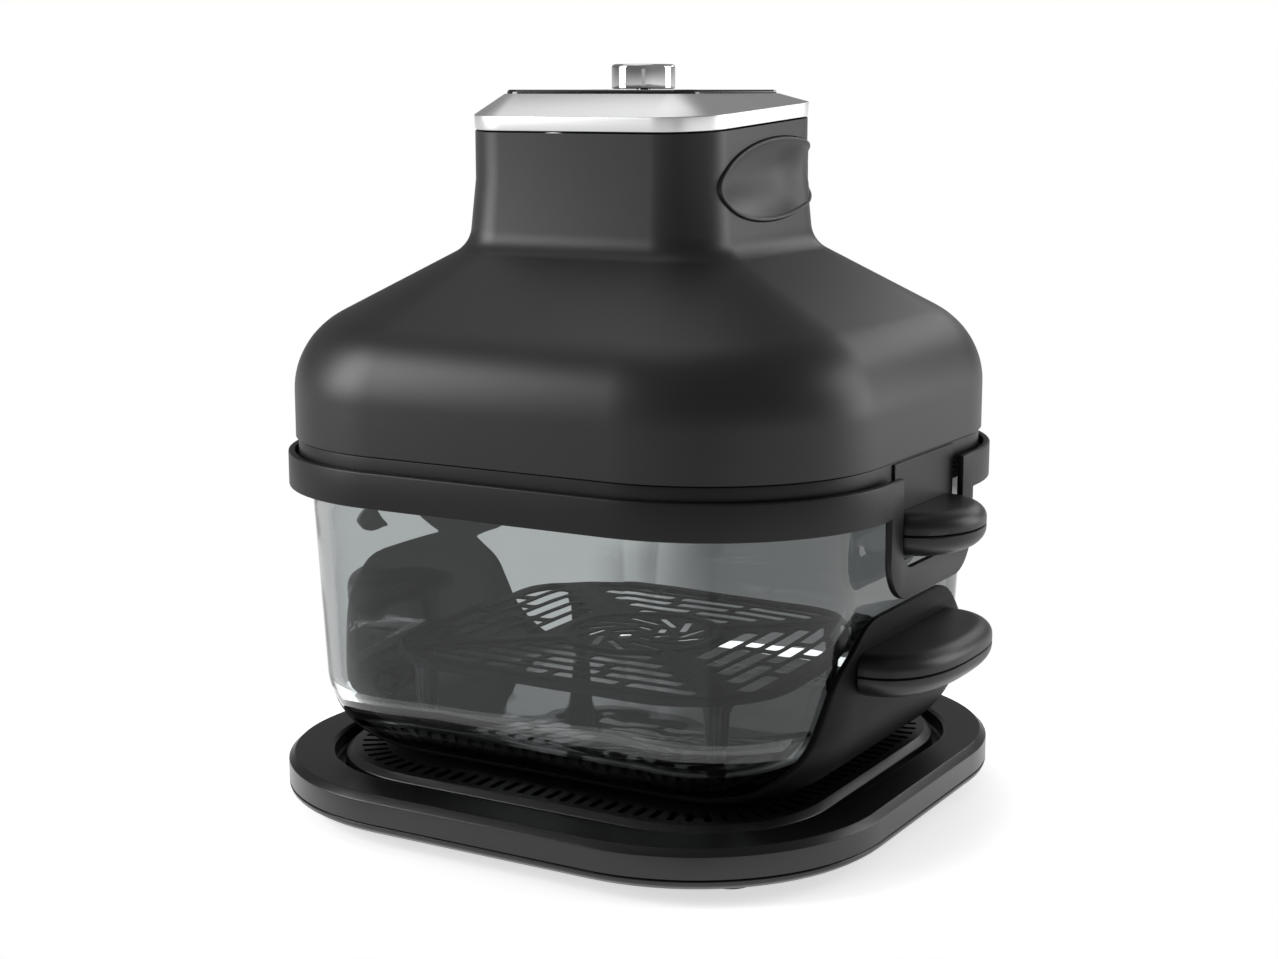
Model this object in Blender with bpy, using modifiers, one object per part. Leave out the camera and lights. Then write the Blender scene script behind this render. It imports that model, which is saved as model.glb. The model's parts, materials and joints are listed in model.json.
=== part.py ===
"""Glass-bowl hot-air fryer: a heating head on a collar, a glass bowl in its
cradle, a crisper plate and a base plate, modelled as separate pieces.

Metres, +Z up, front towards -Y, origin on the table under the centre.
"""
import math

import bmesh
import bpy
from mathutils import Matrix, Vector

NAME = "glass_hot_air_fryer"
GAP = 0.0003                  # between pieces that touch
STEPS = 6                     # facets in each quarter corner of a plan
CORNERS = ("back_right", "front_right", "back_left", "front_left")
BODY_ORIGINS = {}

# the head's skirt, which the other plans follow
BODY_WIDTH = 0.285
BODY_DEPTH = 0.268


def sized(wider, deeper, radius):
    """Plan (width, depth, corner radius) by how far it goes past the skirt."""
    return (BODY_WIDTH + wider, BODY_DEPTH + deeper, radius)


SKIRT_PLAN = sized(0.0, 0.0, 0.083)
BASE_PLAN = sized(0.0110, 0.0220, 0.092)
RIM_INNER_PLAN = sized(-0.0280, -0.0240, 0.072)
DISC_PLAN = sized(-0.0402, -0.0370, 0.063)
BOWL_PLAN = sized(-0.0124, -0.0162, 0.0744)
COLLAR_PLAN = sized(0.0095, 0.0050, 0.087)
CRISPER_PLAN = sized(-0.0850, -0.0840, 0.050)
NECK_PLAN = (0.126, 0.122, 0.0245)

# heights above the table
FOOT_HEIGHT = 0.006
BASE_SPLIT = 0.011
BASE_TOP = 0.0243
CRADLE_THICKNESS = 0.0044
CRADLE_SIDE = 0.0030          # its thickness up the bowl's sides
BOWL_RIM = 0.1570
CRISPER_HEIGHT = 0.0375       # crisper top above the bowl's floor
COLLAR_DROP = 0.0065          # the collar's lower edge below the bowl's rim
COLLAR_HEIGHT = 0.0160
SHOULDER_HEIGHT = 0.0446      # where the shoulder line meets the skirt, above the seam
SLOPE_RISE = 0.0416           # rise of the shoulder line up to the neck
NECK_HEIGHT = 0.0540          # neck above the shoulder line
NECK_FLARE = 0.0030           # the neck widens by this towards its base
FLARE_SHARE = 0.55            # share of the neck's height that flares
KNOB_HEIGHT = 0.0111
KNOB_DIAMETER = 0.029

# walls
BASE_WALL = 0.0025
GLASS_WALL = 0.0060
GLASS_FLOOR = 0.0070
COLLAR_WALL = 0.0030
FLANGE_THICKNESS = 0.0022     # the collar's shelf that carries the head
FLANGE_REACH = 0.0215
SEAL_THICKNESS = 0.0020
RING_WALL = 0.0025
RING_HEIGHT = 0.0106
RING_SHELF = 0.0165
HOUSING_WALL = 0.0025
SHEET = 0.0010

# bowl shape
BOWL_DRAFT = 0.0556           # inset for each unit of depth below the rim
BOWL_FOOT_WIDTH = 0.0382      # reach of the bottom rounding
BOWL_FOOT_RISE = 0.0351

# handles: how far they stand out, half their spread and their parting height
BOWL_HANDLE_REACH = 0.0312
BOWL_HANDLE_SPREAD = 0.0540
BOWL_HANDLE_SPLIT = BASE_TOP + 0.4424 * (BOWL_RIM - BASE_TOP)
HEAD_HANDLE_REACH = 0.0250
HEAD_HANDLE_SPREAD = 0.0325
HEAD_HANDLE_SPLIT = BOWL_RIM - 0.0158
HANDLE_TOP = 0.0090
HANDLE_BOTTOM = 0.0105

# collar brackets
BRACKET_HALF = 0.0460
NOTCH_HALF = 0.0334
BRACKET_BOTTOM = BOWL_RIM - 0.0440
NOTCH_BOTTOM = BOWL_RIM - 0.0305
TAB_THICKNESS = 0.0030

# trim and finger grips
TRIM_TILT = math.tan(math.radians(3.25))
TRIM_BAND = 0.0063
TRIM_INSET = 0.0140
TRIM_SEAM = 0.0008            # shadow line between the neck and the trim
TRIM_HEIGHT = 0.0130
PANEL_RISE = 0.0015
PANEL_DEPTH = 0.0045
GRIP_CENTRE_Y = 0.0085
GRIP_HALF_LENGTH = 0.0520
GRIP_HALF_HEIGHT = 0.0183
GRIP_DROP = 0.0244            # grip centre below the neck's top
GRIP_PROUD = 0.0014
GRIP_DISH = 0.0048
GRIP_WALL = 0.0013
GRIP_HOLE = 0.915             # share of the grip's oval that is open behind it

# motor, air system and controls
SHIELD_HEIGHT = 0.0460
SHIELD_INSET = 0.0370         # its width short of the skirt's
ELEMENT_LIFT = 0.0220         # element above the shield's seat
BRACKET_LIFT = 0.0110         # motor bracket above the shield's roof
BOARD_DROP = 0.0190
BOARD_THICKNESS = 0.0016
SWITCH_DIAMETER = 0.0200
SWITCH_HEIGHT = 0.0070
CUTOUT_DIAMETER = 0.0160
CUTOUT_HEIGHT = 0.0080
POINTER_TURN = math.radians(30)
SHAFT_DIAMETER = 0.0060
FAN_DIAMETER = 0.1240
FAN_BLADES = 9
MOTOR_DIAMETER = 0.0560
MOTOR_HEIGHT = 0.0340
ELEMENT_DIAMETER = 0.0065
ELEMENT_RING = FAN_DIAMETER + 0.0320
TERMINAL_SPREAD = 0.0150      # half the distance between the element's ends
KNOB_SHAFT_DIAMETER = 0.0060
GLAND_DIAMETER = 0.0140
GLAND_HEIGHT = 0.0250         # gland axis above the seam

# fasteners
SCREW_DIAMETER = 0.0030
SCREW_HEAD = 0.0060
SCREW_HEAD_HEIGHT = 0.0018
SCREW_CLEARANCE = 0.0004
FOOT_DIAMETER = 0.0240

# derived heights
TRAY_BOTTOM = BASE_SPLIT + GAP
BOWL_BOTTOM = BASE_TOP + GAP + CRADLE_THICKNESS + GAP
BOWL_FLOOR = BOWL_BOTTOM + GLASS_FLOOR
CRISPER_TOP = BOWL_FLOOR + CRISPER_HEIGHT
COLLAR_BOTTOM = BOWL_RIM - COLLAR_DROP
COLLAR_TOP = COLLAR_BOTTOM + COLLAR_HEIGHT
SEAL_BOTTOM = BOWL_RIM + GAP
SEAL_TOP = SEAL_BOTTOM + SEAL_THICKNESS
FLANGE_BOTTOM = SEAL_TOP + GAP
FLANGE_TOP = FLANGE_BOTTOM + FLANGE_THICKNESS
RING_BOTTOM = FLANGE_TOP + GAP
RING_TOP = RING_BOTTOM + RING_HEIGHT
SEAM = RING_TOP + GAP
SHOULDER = SEAM + SHOULDER_HEIGHT
NECK_BASE = SHOULDER + SLOPE_RISE
NECK_TOP = NECK_BASE + NECK_HEIGHT
TRIM_BOTTOM = NECK_TOP + TRIM_SEAM
TRIM_TOP = TRIM_BOTTOM + TRIM_HEIGHT
PANEL_TOP = TRIM_TOP + PANEL_RISE
KNOB_BOTTOM = PANEL_TOP + GAP
SHIELD_SEAT = RING_BOTTOM + RING_WALL + GAP
SHIELD_ROOF = SHIELD_SEAT + SHIELD_HEIGHT
BOARD_BOTTOM = PANEL_TOP - BOARD_DROP


# ---------------------------------------------------------------- materials
def material(name, colour, roughness, metallic=0.0, transmission=0.0):
    """Principled material; made once for each name."""
    found = bpy.data.materials.get(name)
    if found:
        return found
    made = bpy.data.materials.new(name)
    made.use_nodes = True
    shader = made.node_tree.nodes["Principled BSDF"]
    shader.inputs["Base Color"].default_value = (*colour, 1.0)
    shader.inputs["Roughness"].default_value = roughness
    shader.inputs["Metallic"].default_value = metallic
    shader.inputs["Transmission Weight"].default_value = transmission
    made.diffuse_color = (*colour, 1.0)
    return made


def satin_black():
    return material("satin_black", (0.022, 0.022, 0.024), 0.42)


def soft_black():
    return material("soft_black", (0.016, 0.016, 0.017), 0.55)


def gloss_black():
    return material("gloss_black", (0.008, 0.008, 0.009), 0.08)


def grip_grey():
    return material("grip_grey", (0.040, 0.040, 0.043), 0.50)


def satin_silver():
    return material("satin_silver", (0.72, 0.73, 0.74), 0.28, 1.0)


def chrome():
    return material("chrome", (0.86, 0.86, 0.87), 0.06, 1.0)


def clear_glass():
    return material("clear_glass", (0.90, 0.95, 0.96), 0.02, 0.0, 1.0)


def nonstick():
    return material("nonstick", (0.060, 0.062, 0.066), 0.35, 0.6)


def silicone():
    return material("silicone", (0.030, 0.030, 0.032), 0.70)


def sheet_steel():
    return material("sheet_steel", (0.58, 0.58, 0.57), 0.34, 1.0)


def element_steel():
    return material("element_steel", (0.20, 0.19, 0.18), 0.45, 1.0)


def board_green():
    return material("board_green", (0.02, 0.11, 0.05), 0.45)


# -------------------------------------------------------------- scene set-up
def clear_scene():
    for item in list(bpy.data.objects):
        bpy.data.objects.remove(item, do_unlink=True)


def new_collection(name):
    made = bpy.data.collections.new(name)
    bpy.context.scene.collection.children.link(made)
    return made


def add_empty(name, location, parent=None):
    """Empty on a joint's axis; its body's pieces hang from it."""
    empty = bpy.data.objects.new(name, None)
    PARTS.objects.link(empty)
    empty.empty_display_size = 0.02
    place(empty, location, parent)
    return empty


def place(item, location, parent):
    """Put an object at a world location under its parent empty."""
    item.location = Vector(location)
    if parent:
        item.parent = parent
        item.location = Vector(location) - BODY_ORIGINS[parent.name]
    if item.type == "EMPTY":
        BODY_ORIGINS[item.name] = Vector(location)


def add_object(name, bm, origin, parent, look=None):
    """Make an object of a bmesh drawn in world places, with its own origin."""
    bmesh.ops.translate(bm, verts=bm.verts, vec=-Vector(origin))
    bmesh.ops.recalc_face_normals(bm, faces=bm.faces)
    mesh = bpy.data.meshes.new(name)
    bm.to_mesh(mesh)
    bm.free()
    mesh.shade_smooth()
    mesh.set_sharp_from_angle(angle=math.radians(35))
    item = bpy.data.objects.new(name, mesh)
    if look:
        mesh.materials.append(look)
        PARTS.objects.link(item)
    else:
        CUTTERS.objects.link(item)
        item.hide_render = True
        item.display_type = "WIRE"
    place(item, origin, parent)
    return item


def boolean(item, other, operation):
    step = item.modifiers.new(operation.lower(), "BOOLEAN")
    step.operation = operation
    step.object = other
    step.solver = "EXACT"


# ------------------------------------------------------------- shape helpers
def plan_ring(plan, inset, height, tilt=0.0, steps=STEPS):
    """Rounded rectangle, inset from its plan; a tilt raises it towards +Y."""
    width, depth, radius = plan
    half_x = width / 2 - inset
    half_y = depth / 2 - inset
    bend = max(radius - inset, 0.002)
    ring = []
    for quarter, (side_x, side_y) in enumerate(((1, 1), (-1, 1), (-1, -1), (1, -1))):
        for step in range(steps + 1):
            angle = math.radians(90) * (quarter + step / steps)
            x = side_x * (half_x - bend) + bend * math.cos(angle)
            y = side_y * (half_y - bend) + bend * math.sin(angle)
            ring.append(Vector((x, y, height + tilt * y)))
    return ring


def loft(rings, first_cap=False, last_cap=False, closed=False):
    """Skin equal rings in order; closed joins the last ring to the first."""
    bm = bmesh.new()
    rows = [[bm.verts.new(point) for point in ring] for ring in rings]
    pairs = list(zip(rows, rows[1:]))
    if closed:
        pairs.append((rows[-1], rows[0]))
    for lower, upper in pairs:
        count = len(lower)
        for index in range(count):
            after = (index + 1) % count
            bm.faces.new((lower[index], lower[after], upper[after], upper[index]))
    if first_cap:
        bm.faces.new(reversed(rows[0]))
    if last_cap:
        bm.faces.new(rows[-1])
    return bm


def arc_corner(before, corner, after, radius, steps):
    """Points of the arc that rounds one corner of a 2D outline."""
    to_before = (before - corner).normalized()
    to_after = (after - corner).normalized()
    half_angle = to_before.angle(to_after) / 2
    reach = radius / math.tan(half_angle)
    centre = corner + (to_before + to_after).normalized() * radius / math.sin(half_angle)
    start = corner + to_before * reach - centre
    finish = corner + to_after * reach - centre
    sweep = start.angle(finish)
    points = []
    for step in range(steps + 1):
        share = step / steps
        a = math.sin((1 - share) * sweep) / math.sin(sweep)
        b = math.sin(share * sweep) / math.sin(sweep)
        points.append(centre + start * a + finish * b)
    return points


def rounded_outline(corners, steps=4, closed=False):
    """2D outline from (u, v, radius) corners, each rounded by its radius."""
    flat = [Vector((u, v)) for u, v, radius in corners]
    count = len(flat)
    outline = []
    for index, (u, v, radius) in enumerate(corners):
        inner = closed or 0 < index < count - 1
        if radius and inner:
            before = flat[index - 1]
            after = flat[(index + 1) % count]
            outline += arc_corner(before, flat[index], after, radius, steps)
        else:
            outline.append(flat[index])
    return outline


def side_prism(outline, x_from, x_to):
    """Prism along X from a (y, z) outline."""
    rings = [[Vector((x, u, v)) for u, v in outline] for x in (x_from, x_to)]
    return loft(rings, True, True)


def cylinder(diameter, z_from, z_to, centre=(0.0, 0.0), segments=24):
    bm = bmesh.new()
    shift = Matrix.Translation((centre[0], centre[1], (z_from + z_to) / 2))
    bmesh.ops.create_cone(bm, cap_ends=True, segments=segments, radius1=diameter / 2,
                          radius2=diameter / 2, depth=z_to - z_from, matrix=shift)
    return bm


def box(x_range, y_range, z_range):
    bm = bmesh.new()
    size = [b - a for a, b in (x_range, y_range, z_range)]
    middle = [(a + b) / 2 for a, b in (x_range, y_range, z_range)]
    shift = Matrix.Translation(middle) @ Matrix.Diagonal((*size, 1.0))
    bmesh.ops.create_cube(bm, size=1.0, matrix=shift)
    return bm


def turned(name, profile, origin, parent, look, segments=32):
    """Turned shape: (radius, height) points run down the outer side."""
    mesh = bpy.data.meshes.new(name)
    points = [(radius, 0.0, height - origin[2]) for radius, height in profile]
    edges = [(i, (i + 1) % len(points)) for i in range(len(points))]
    if profile[0][0] == 0.0:
        edges.pop()
    mesh.from_pydata(points, edges, [])
    if look:
        mesh.materials.append(look)
    item = bpy.data.objects.new(name, mesh)
    if look:
        PARTS.objects.link(item)
    else:
        CUTTERS.objects.link(item)
        item.hide_render = True
        item.display_type = "WIRE"
    screw = item.modifiers.new("turn", "SCREW")
    screw.steps = segments
    screw.render_steps = segments
    screw.use_merge_vertices = True
    screw.merge_threshold = 0.00001
    screw.use_smooth_shade = True
    place(item, origin, parent)
    return item


def screw_profile(head_z, tip_z):
    """Pan-head screw with its head below and its tip above."""
    shank = SCREW_DIAMETER / 2
    head = SCREW_HEAD / 2
    seat = head_z + SCREW_HEAD_HEIGHT
    return [(0.0, tip_z), (shank, tip_z), (shank, seat), (head, seat), (head, head_z),
            (0.0, head_z)]


# ---------------------------------------------------------------- base plate
def make_base_tray(base):
    rise = BASE_TOP - TRAY_BOTTOM
    floor = BASE_TOP - 0.0085
    wall = BASE_WALL
    rings = [
        plan_ring(DISC_PLAN, 0.0035, BASE_TOP),
        plan_ring(DISC_PLAN, 0.0, BASE_TOP - 0.0025),
        plan_ring(DISC_PLAN, 0.0, floor),
        plan_ring(RIM_INNER_PLAN, 0.0, floor),
        plan_ring(RIM_INNER_PLAN, 0.0, BASE_TOP - 0.0015),
        plan_ring(RIM_INNER_PLAN, -0.0015, BASE_TOP),
        plan_ring(BASE_PLAN, 0.0035, BASE_TOP),
        plan_ring(BASE_PLAN, 0.0005, BASE_TOP - 0.0025),
        plan_ring(BASE_PLAN, 0.0, BASE_TOP - 0.0035),
        plan_ring(BASE_PLAN, 0.0, TRAY_BOTTOM),
        plan_ring(BASE_PLAN, wall, TRAY_BOTTOM),
        plan_ring(BASE_PLAN, wall, TRAY_BOTTOM + rise * 0.7),
        plan_ring(BASE_PLAN, wall * 2, BASE_TOP - wall),
        plan_ring(RIM_INNER_PLAN, -wall, BASE_TOP - wall - 0.001),
        plan_ring(RIM_INNER_PLAN, -wall, floor - wall),
        plan_ring(DISC_PLAN, wall, floor - wall),
        plan_ring(DISC_PLAN, wall, BASE_TOP - wall - 0.001),
        plan_ring(DISC_PLAN, wall + 0.003, BASE_TOP - wall),
    ]
    tray = add_object("base_tray", loft(rings, True, True), (0, 0, TRAY_BOTTOM), base,
                      satin_black())
    for number, (x, y) in enumerate(base_screw_places()):
        boss = cylinder(0.0085, TRAY_BOTTOM, BASE_TOP - wall / 2, (x, y), 16)
        boolean(tray, add_object(f"boss_{number}", boss, (x, y, TRAY_BOTTOM), base), "UNION")
    for number, (x, y) in enumerate(base_screw_places()):
        bore = cylinder(SCREW_DIAMETER + SCREW_CLEARANCE, TRAY_BOTTOM - 0.001,
                        TRAY_BOTTOM + 0.0075, (x, y), 12)
        boolean(tray, add_object(f"boss_bore_{number}", bore, (x, y, TRAY_BOTTOM), base),
                "DIFFERENCE")
    boolean(tray, make_slot_cutter(base), "DIFFERENCE")


def make_slot_cutter(base):
    """One cutter of short slots that stand square to the disc's edge."""
    length = 0.0120
    width = 0.0033
    pitch = 0.0148
    outer = plan_ring(DISC_PLAN, 0.0075, BASE_TOP, steps=24)
    inner = plan_ring(DISC_PLAN, 0.0075 + length, BASE_TOP, steps=24)
    loops = list(zip(outer, inner))
    loops.append(loops[0])
    spans = [(b[0] - a[0]).length for a, b in zip(loops, loops[1:])]
    total = sum(spans)
    count = int(round(total / pitch / 4)) * 4
    bm = bmesh.new()
    for index in range(count):
        left = (index + 0.5) / count * total
        for span, (start, finish) in zip(spans, zip(loops, loops[1:])):
            if left <= span:
                break
            left -= span
        far = start[0].lerp(finish[0], left / span)
        near = start[1].lerp(finish[1], left / span)
        run = near - far
        turn = Matrix.Rotation(math.atan2(run.y, run.x), 4, "Z")
        shift = Matrix.Translation((far + near) / 2)
        size = Matrix.Diagonal((run.length, width, 0.008, 1.0))
        bmesh.ops.create_cube(bm, size=1.0, matrix=shift @ turn @ size)
    return add_object("vent_slots", bm, (0, 0, BASE_TOP), base)


def base_screw_places():
    x = DISC_PLAN[0] / 2 - 0.035
    y = DISC_PLAN[1] / 2 - 0.035
    return [(side_x * x, side_y * y) for side_x in (1, -1) for side_y in (1, -1)]


def foot_places():
    x = BASE_PLAN[0] / 2 - 0.0480
    y = BASE_PLAN[1] / 2 - 0.0450
    return [(side_x * x, side_y * y) for side_x in (1, -1) for side_y in (1, -1)]


def make_base_bottom(base):
    rings = [
        plan_ring(BASE_PLAN, 0.0025, FOOT_HEIGHT),
        plan_ring(BASE_PLAN, 0.0006, FOOT_HEIGHT + 0.0008),
        plan_ring(BASE_PLAN, 0.0, FOOT_HEIGHT + 0.0024),
        plan_ring(BASE_PLAN, 0.0, BASE_SPLIT),
        plan_ring(BASE_PLAN, BASE_WALL, BASE_SPLIT),
        plan_ring(BASE_PLAN, BASE_WALL, FOOT_HEIGHT + BASE_WALL),
    ]
    pan = add_object("base_bottom", loft(rings, True, True), (0, 0, FOOT_HEIGHT), base,
                     soft_black())
    for number, (x, y) in enumerate(base_screw_places()):
        hole = cylinder(SCREW_DIAMETER + SCREW_CLEARANCE, FOOT_HEIGHT - 0.001,
                        BASE_SPLIT, (x, y), 12)
        boolean(pan, add_object(f"base_hole_{number}", hole, (x, y, 0), base), "DIFFERENCE")


def make_base_feet(base):
    radius = FOOT_DIAMETER / 2
    top = FOOT_HEIGHT - GAP
    profile = [(0.0, top), (radius, top), (radius, 0.0012), (radius - 0.0012, 0.0), (0.0, 0.0)]
    for (x, y), corner in zip(foot_places(), CORNERS):
        turned(f"{corner}_foot", profile, (x, y, 0.0), base, silicone(), 24)


def make_base_screws(base):
    head = FOOT_HEIGHT - SCREW_HEAD_HEIGHT - GAP
    for (x, y), corner in zip(base_screw_places(), CORNERS):
        turned(f"{corner}_base_screw", screw_profile(head, TRAY_BOTTOM + 0.0065),
               (x, y, head), base, sheet_steel(), 10)


# ---------------------------------------------------------------------- bowl
def bowl_profile(offset, steps=6):
    """(inset, height) points of the bowl's outer side, moved out by offset."""
    turn = BOWL_BOTTOM + BOWL_FOOT_RISE
    drafted = BOWL_DRAFT * (BOWL_RIM - turn)
    points = [(-offset, BOWL_RIM), (drafted - offset, turn)]
    for step in range(1, steps + 1):
        angle = math.radians(90) * step / steps
        inset = drafted + BOWL_FOOT_WIDTH * (1 - math.cos(angle)) - offset * math.cos(angle)
        height = turn - (BOWL_FOOT_RISE + offset) * math.sin(angle)
        points.append((inset, height))
    return points


def make_glass_bowl(bowl):
    wall = GLASS_WALL
    outer = bowl_profile(0.0)
    inner = [(inset, height) for inset, height in bowl_profile(-wall)]
    lift = BOWL_FLOOR - inner[-1][1]
    rim = [(wall * 0.75, BOWL_RIM - 0.0004), (wall * 0.5, BOWL_RIM), (wall * 0.25, BOWL_RIM - 0.0004)]
    rings = [plan_ring(BOWL_PLAN, inset, height + (lift if height < BOWL_FLOOR + 0.002 else 0))
             for inset, height in reversed(inner[1:])]
    rings.append(plan_ring(BOWL_PLAN, inner[0][0], BOWL_RIM - 0.0016))
    rings += [plan_ring(BOWL_PLAN, inset, height) for inset, height in rim]
    rings.append(plan_ring(BOWL_PLAN, 0.0, BOWL_RIM - 0.0016))
    rings += [plan_ring(BOWL_PLAN, inset, height) for inset, height in outer[1:]]
    add_object("glass_bowl", loft(rings, True, True), (0, 0, BOWL_BOTTOM), bowl, clear_glass())


def make_cradle(bowl):
    """Side saddles and floor under the bowl, cut to a bell outline."""
    outer = bowl_profile(GAP + CRADLE_SIDE)
    inner = bowl_profile(GAP)
    floor = BASE_TOP + GAP
    rings = [plan_ring(BOWL_PLAN, inset, height) for inset, height in inner]
    rings += [plan_ring(BOWL_PLAN, inset, max(height, floor)) for inset, height in reversed(outer[:-1])]
    flat = plan_ring(BOWL_PLAN, outer[-1][0], floor)
    rings.insert(len(inner), flat)
    shell = loft_cup(rings, len(inner))
    cradle = add_object("bowl_cradle", shell, (0, 0, floor), bowl, soft_black())
    hip = floor + 0.0174
    waist = BOWL_HANDLE_SPLIT + 0.0010
    crown = BOWL_HANDLE_SPLIT + 0.0220
    corners = [
        (-0.0880, floor - 0.004, 0.0), (-0.0860, hip, 0.0400), (-0.0690, waist, 0.0300),
        (-0.0430, crown, 0.0300), (0.0430, crown, 0.0300), (0.0690, waist, 0.0300),
        (0.0860, hip, 0.0400), (0.0880, floor - 0.004, 0.0),
    ]
    reach = BOWL_PLAN[0] / 2 + 0.02
    bell = side_prism(rounded_outline(corners, 5), -reach, reach)
    boolean(cradle, add_object("bell_outline", bell, (0, 0, floor), bowl), "INTERSECT")


def loft_cup(rings, split):
    """Skin whose first rings run to one centre and the others back to the other."""
    near = rings[:split]
    far = rings[split:]
    return loft(list(reversed(near)) + list(reversed(far)), True, True)


def tongue_ring(root_x, reach, spread, inset, height, power, side):
    """D-shaped outline: a straight root and a rounded outer edge."""
    steps = 14
    ring = []
    for step in range(steps + 1):
        angle = math.pi * (step / steps - 0.5)
        away = math.copysign(abs(math.cos(angle)) ** (2 / power), 1.0)
        along = math.copysign(abs(math.sin(angle)) ** (2 / power), math.sin(angle))
        ring.append(Vector((side * (root_x + (reach - inset) * away), (spread - inset) * along,
                            height)))
    return ring


def handle_half(name, root_x, reach, spread, power, levels, side, parent, look):
    rings = [tongue_ring(root_x, reach, spread, inset, height, power, side)
             for inset, height in levels]
    origin = (side * root_x, 0, levels[0][1])
    return add_object(name, loft(rings, True, True), origin, parent, look)


def upper_levels(split, top):
    start = split + GAP / 2
    return [(0.0, start), (0.0003, start + top * 0.40), (0.0016, start + top * 0.75),
            (0.0034, start + top * 0.95), (0.0052, start + top)]


def lower_levels(split, depth):
    start = split - GAP / 2
    return [(0.0, start), (0.0010, start - depth * 0.30), (0.0042, start - depth * 0.65),
            (0.0086, start - depth * 0.92), (0.0125, start - depth)]


def make_bowl_handles(bowl):
    """Pads on both sides of the cradle, each an upper and a lower half."""
    inset, _ = bowl_profile(GAP * 2 + CRADLE_SIDE)[0]
    pad_top = BOWL_HANDLE_SPLIT + HANDLE_TOP
    root = BOWL_PLAN[0] / 2 - inset - BOWL_DRAFT * (BOWL_RIM - pad_top)
    for side, word in ((1, "right"), (-1, "left")):
        upper = handle_half(f"{word}_bowl_handle_top", root, BOWL_HANDLE_REACH,
                            BOWL_HANDLE_SPREAD, 2.5, upper_levels(BOWL_HANDLE_SPLIT, HANDLE_TOP),
                            side, bowl, soft_black())
        lower = handle_half(f"{word}_bowl_handle_base", root, BOWL_HANDLE_REACH,
                            BOWL_HANDLE_SPREAD, 2.5,
                            lower_levels(BOWL_HANDLE_SPLIT, HANDLE_BOTTOM), side, bowl,
                            soft_black())
        places = [(side * (root + 0.0120), y) for y in (-0.024, 0.024)]
        fasten(f"{word}_bowl_handle", upper, lower, BOWL_HANDLE_SPLIT, places, bowl)


def fasten(word, upper, lower, split, places, parent):
    """Screws from below that clamp a lower half to an upper half."""
    head = split - HANDLE_BOTTOM + 0.0022
    for number, (x, y) in enumerate(places, 1):
        hole = cylinder(SCREW_DIAMETER + SCREW_CLEARANCE, split - HANDLE_BOTTOM - 0.001,
                        split + 0.0050, (x, y), 12)
        sink = cylinder(SCREW_HEAD + SCREW_CLEARANCE, split - HANDLE_BOTTOM - 0.001,
                        head + SCREW_HEAD_HEIGHT + GAP, (x, y), 16)
        hole_item = add_object(f"{word}_hole_{number}", hole, (x, y, split), parent)
        boolean(upper, hole_item, "DIFFERENCE")
        boolean(lower, hole_item, "DIFFERENCE")
        boolean(lower, add_object(f"{word}_sink_{number}", sink, (x, y, split), parent),
                "DIFFERENCE")
        turned(f"{word}_screw_{number}", screw_profile(head, split + 0.0042),
               (x, y, head), parent, sheet_steel(), 10)


# ------------------------------------------------------------- crisper plate
def make_crisper(crisper):
    """Plate with a turned-down edge, slots between solid arms and a centre ring."""
    lip = 0.0045
    thickness = 0.0015
    top = CRISPER_TOP
    rings = [
        plan_ring(CRISPER_PLAN, 0.0020, top),
        plan_ring(CRISPER_PLAN, 0.0, top - 0.0015),
        plan_ring(CRISPER_PLAN, 0.0, top - lip),
        plan_ring(CRISPER_PLAN, thickness, top - lip),
        plan_ring(CRISPER_PLAN, thickness, top - thickness - 0.0008),
        plan_ring(CRISPER_PLAN, thickness + 0.0010, top - thickness),
    ]
    plate = add_object("crisper_plate", loft(rings, True, True), (0, 0, top), crisper, nonstick())
    boolean(plate, make_crisper_slots(crisper), "DIFFERENCE")
    socket = 0.0140
    for (x, y), corner in zip(crisper_foot_places(), CORNERS):
        foot_top = top - thickness - GAP
        bm = cylinder(socket, BOWL_FLOOR + GAP, foot_top, (x, y), 16)
        add_object(f"{corner}_crisper_foot", bm, (x, y, BOWL_FLOOR), crisper, silicone())


def crisper_foot_places():
    x = CRISPER_PLAN[0] / 2 - 0.0235
    y = CRISPER_PLAN[1] / 2 - 0.0235
    return [(side_x * x, side_y * y) for side_x in (1, -1) for side_y in (1, -1)]


def make_crisper_slots(crisper):
    """Rows of slots in four sectors, kept off the diagonal arms and the ring."""
    bm = bmesh.new()
    half_x = CRISPER_PLAN[0] / 2
    half_y = CRISPER_PLAN[1] / 2
    row_pitch = (half_y - 0.0500) / 4
    slot = row_pitch * 0.74
    for facing in range(4):
        reach = half_y if facing % 2 == 0 else half_x
        spread = half_x if facing % 2 == 0 else half_y
        turn = Matrix.Rotation(math.radians(90) * facing, 4, "Z")
        for row in range(5):
            out = reach - 0.0125 - row * row_pitch
            width = out / reach * spread - 0.0150
            columns = max(1, int(width * 2 / 0.036))
            length = width * 2 / columns - 0.004
            for column in range(columns):
                across = (column - (columns - 1) / 2) * (length + 0.004)
                shift = Matrix.Translation((across, out, CRISPER_TOP))
                size = Matrix.Diagonal((length, slot, 0.012, 1.0))
                bmesh.ops.create_cube(bm, size=1.0, matrix=turn @ shift @ size)
    for index in range(8):
        turn = Matrix.Rotation(math.radians(45) * index, 4, "Z")
        shift = Matrix.Translation((0.0215, 0.004, CRISPER_TOP))
        size = Matrix.Diagonal((0.0180, 0.0050, 0.012, 1.0))
        bmesh.ops.create_cube(bm, size=1.0, matrix=turn @ shift @ size)
    return add_object("crisper_slots", bm, (0, 0, CRISPER_TOP), crisper)


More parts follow.
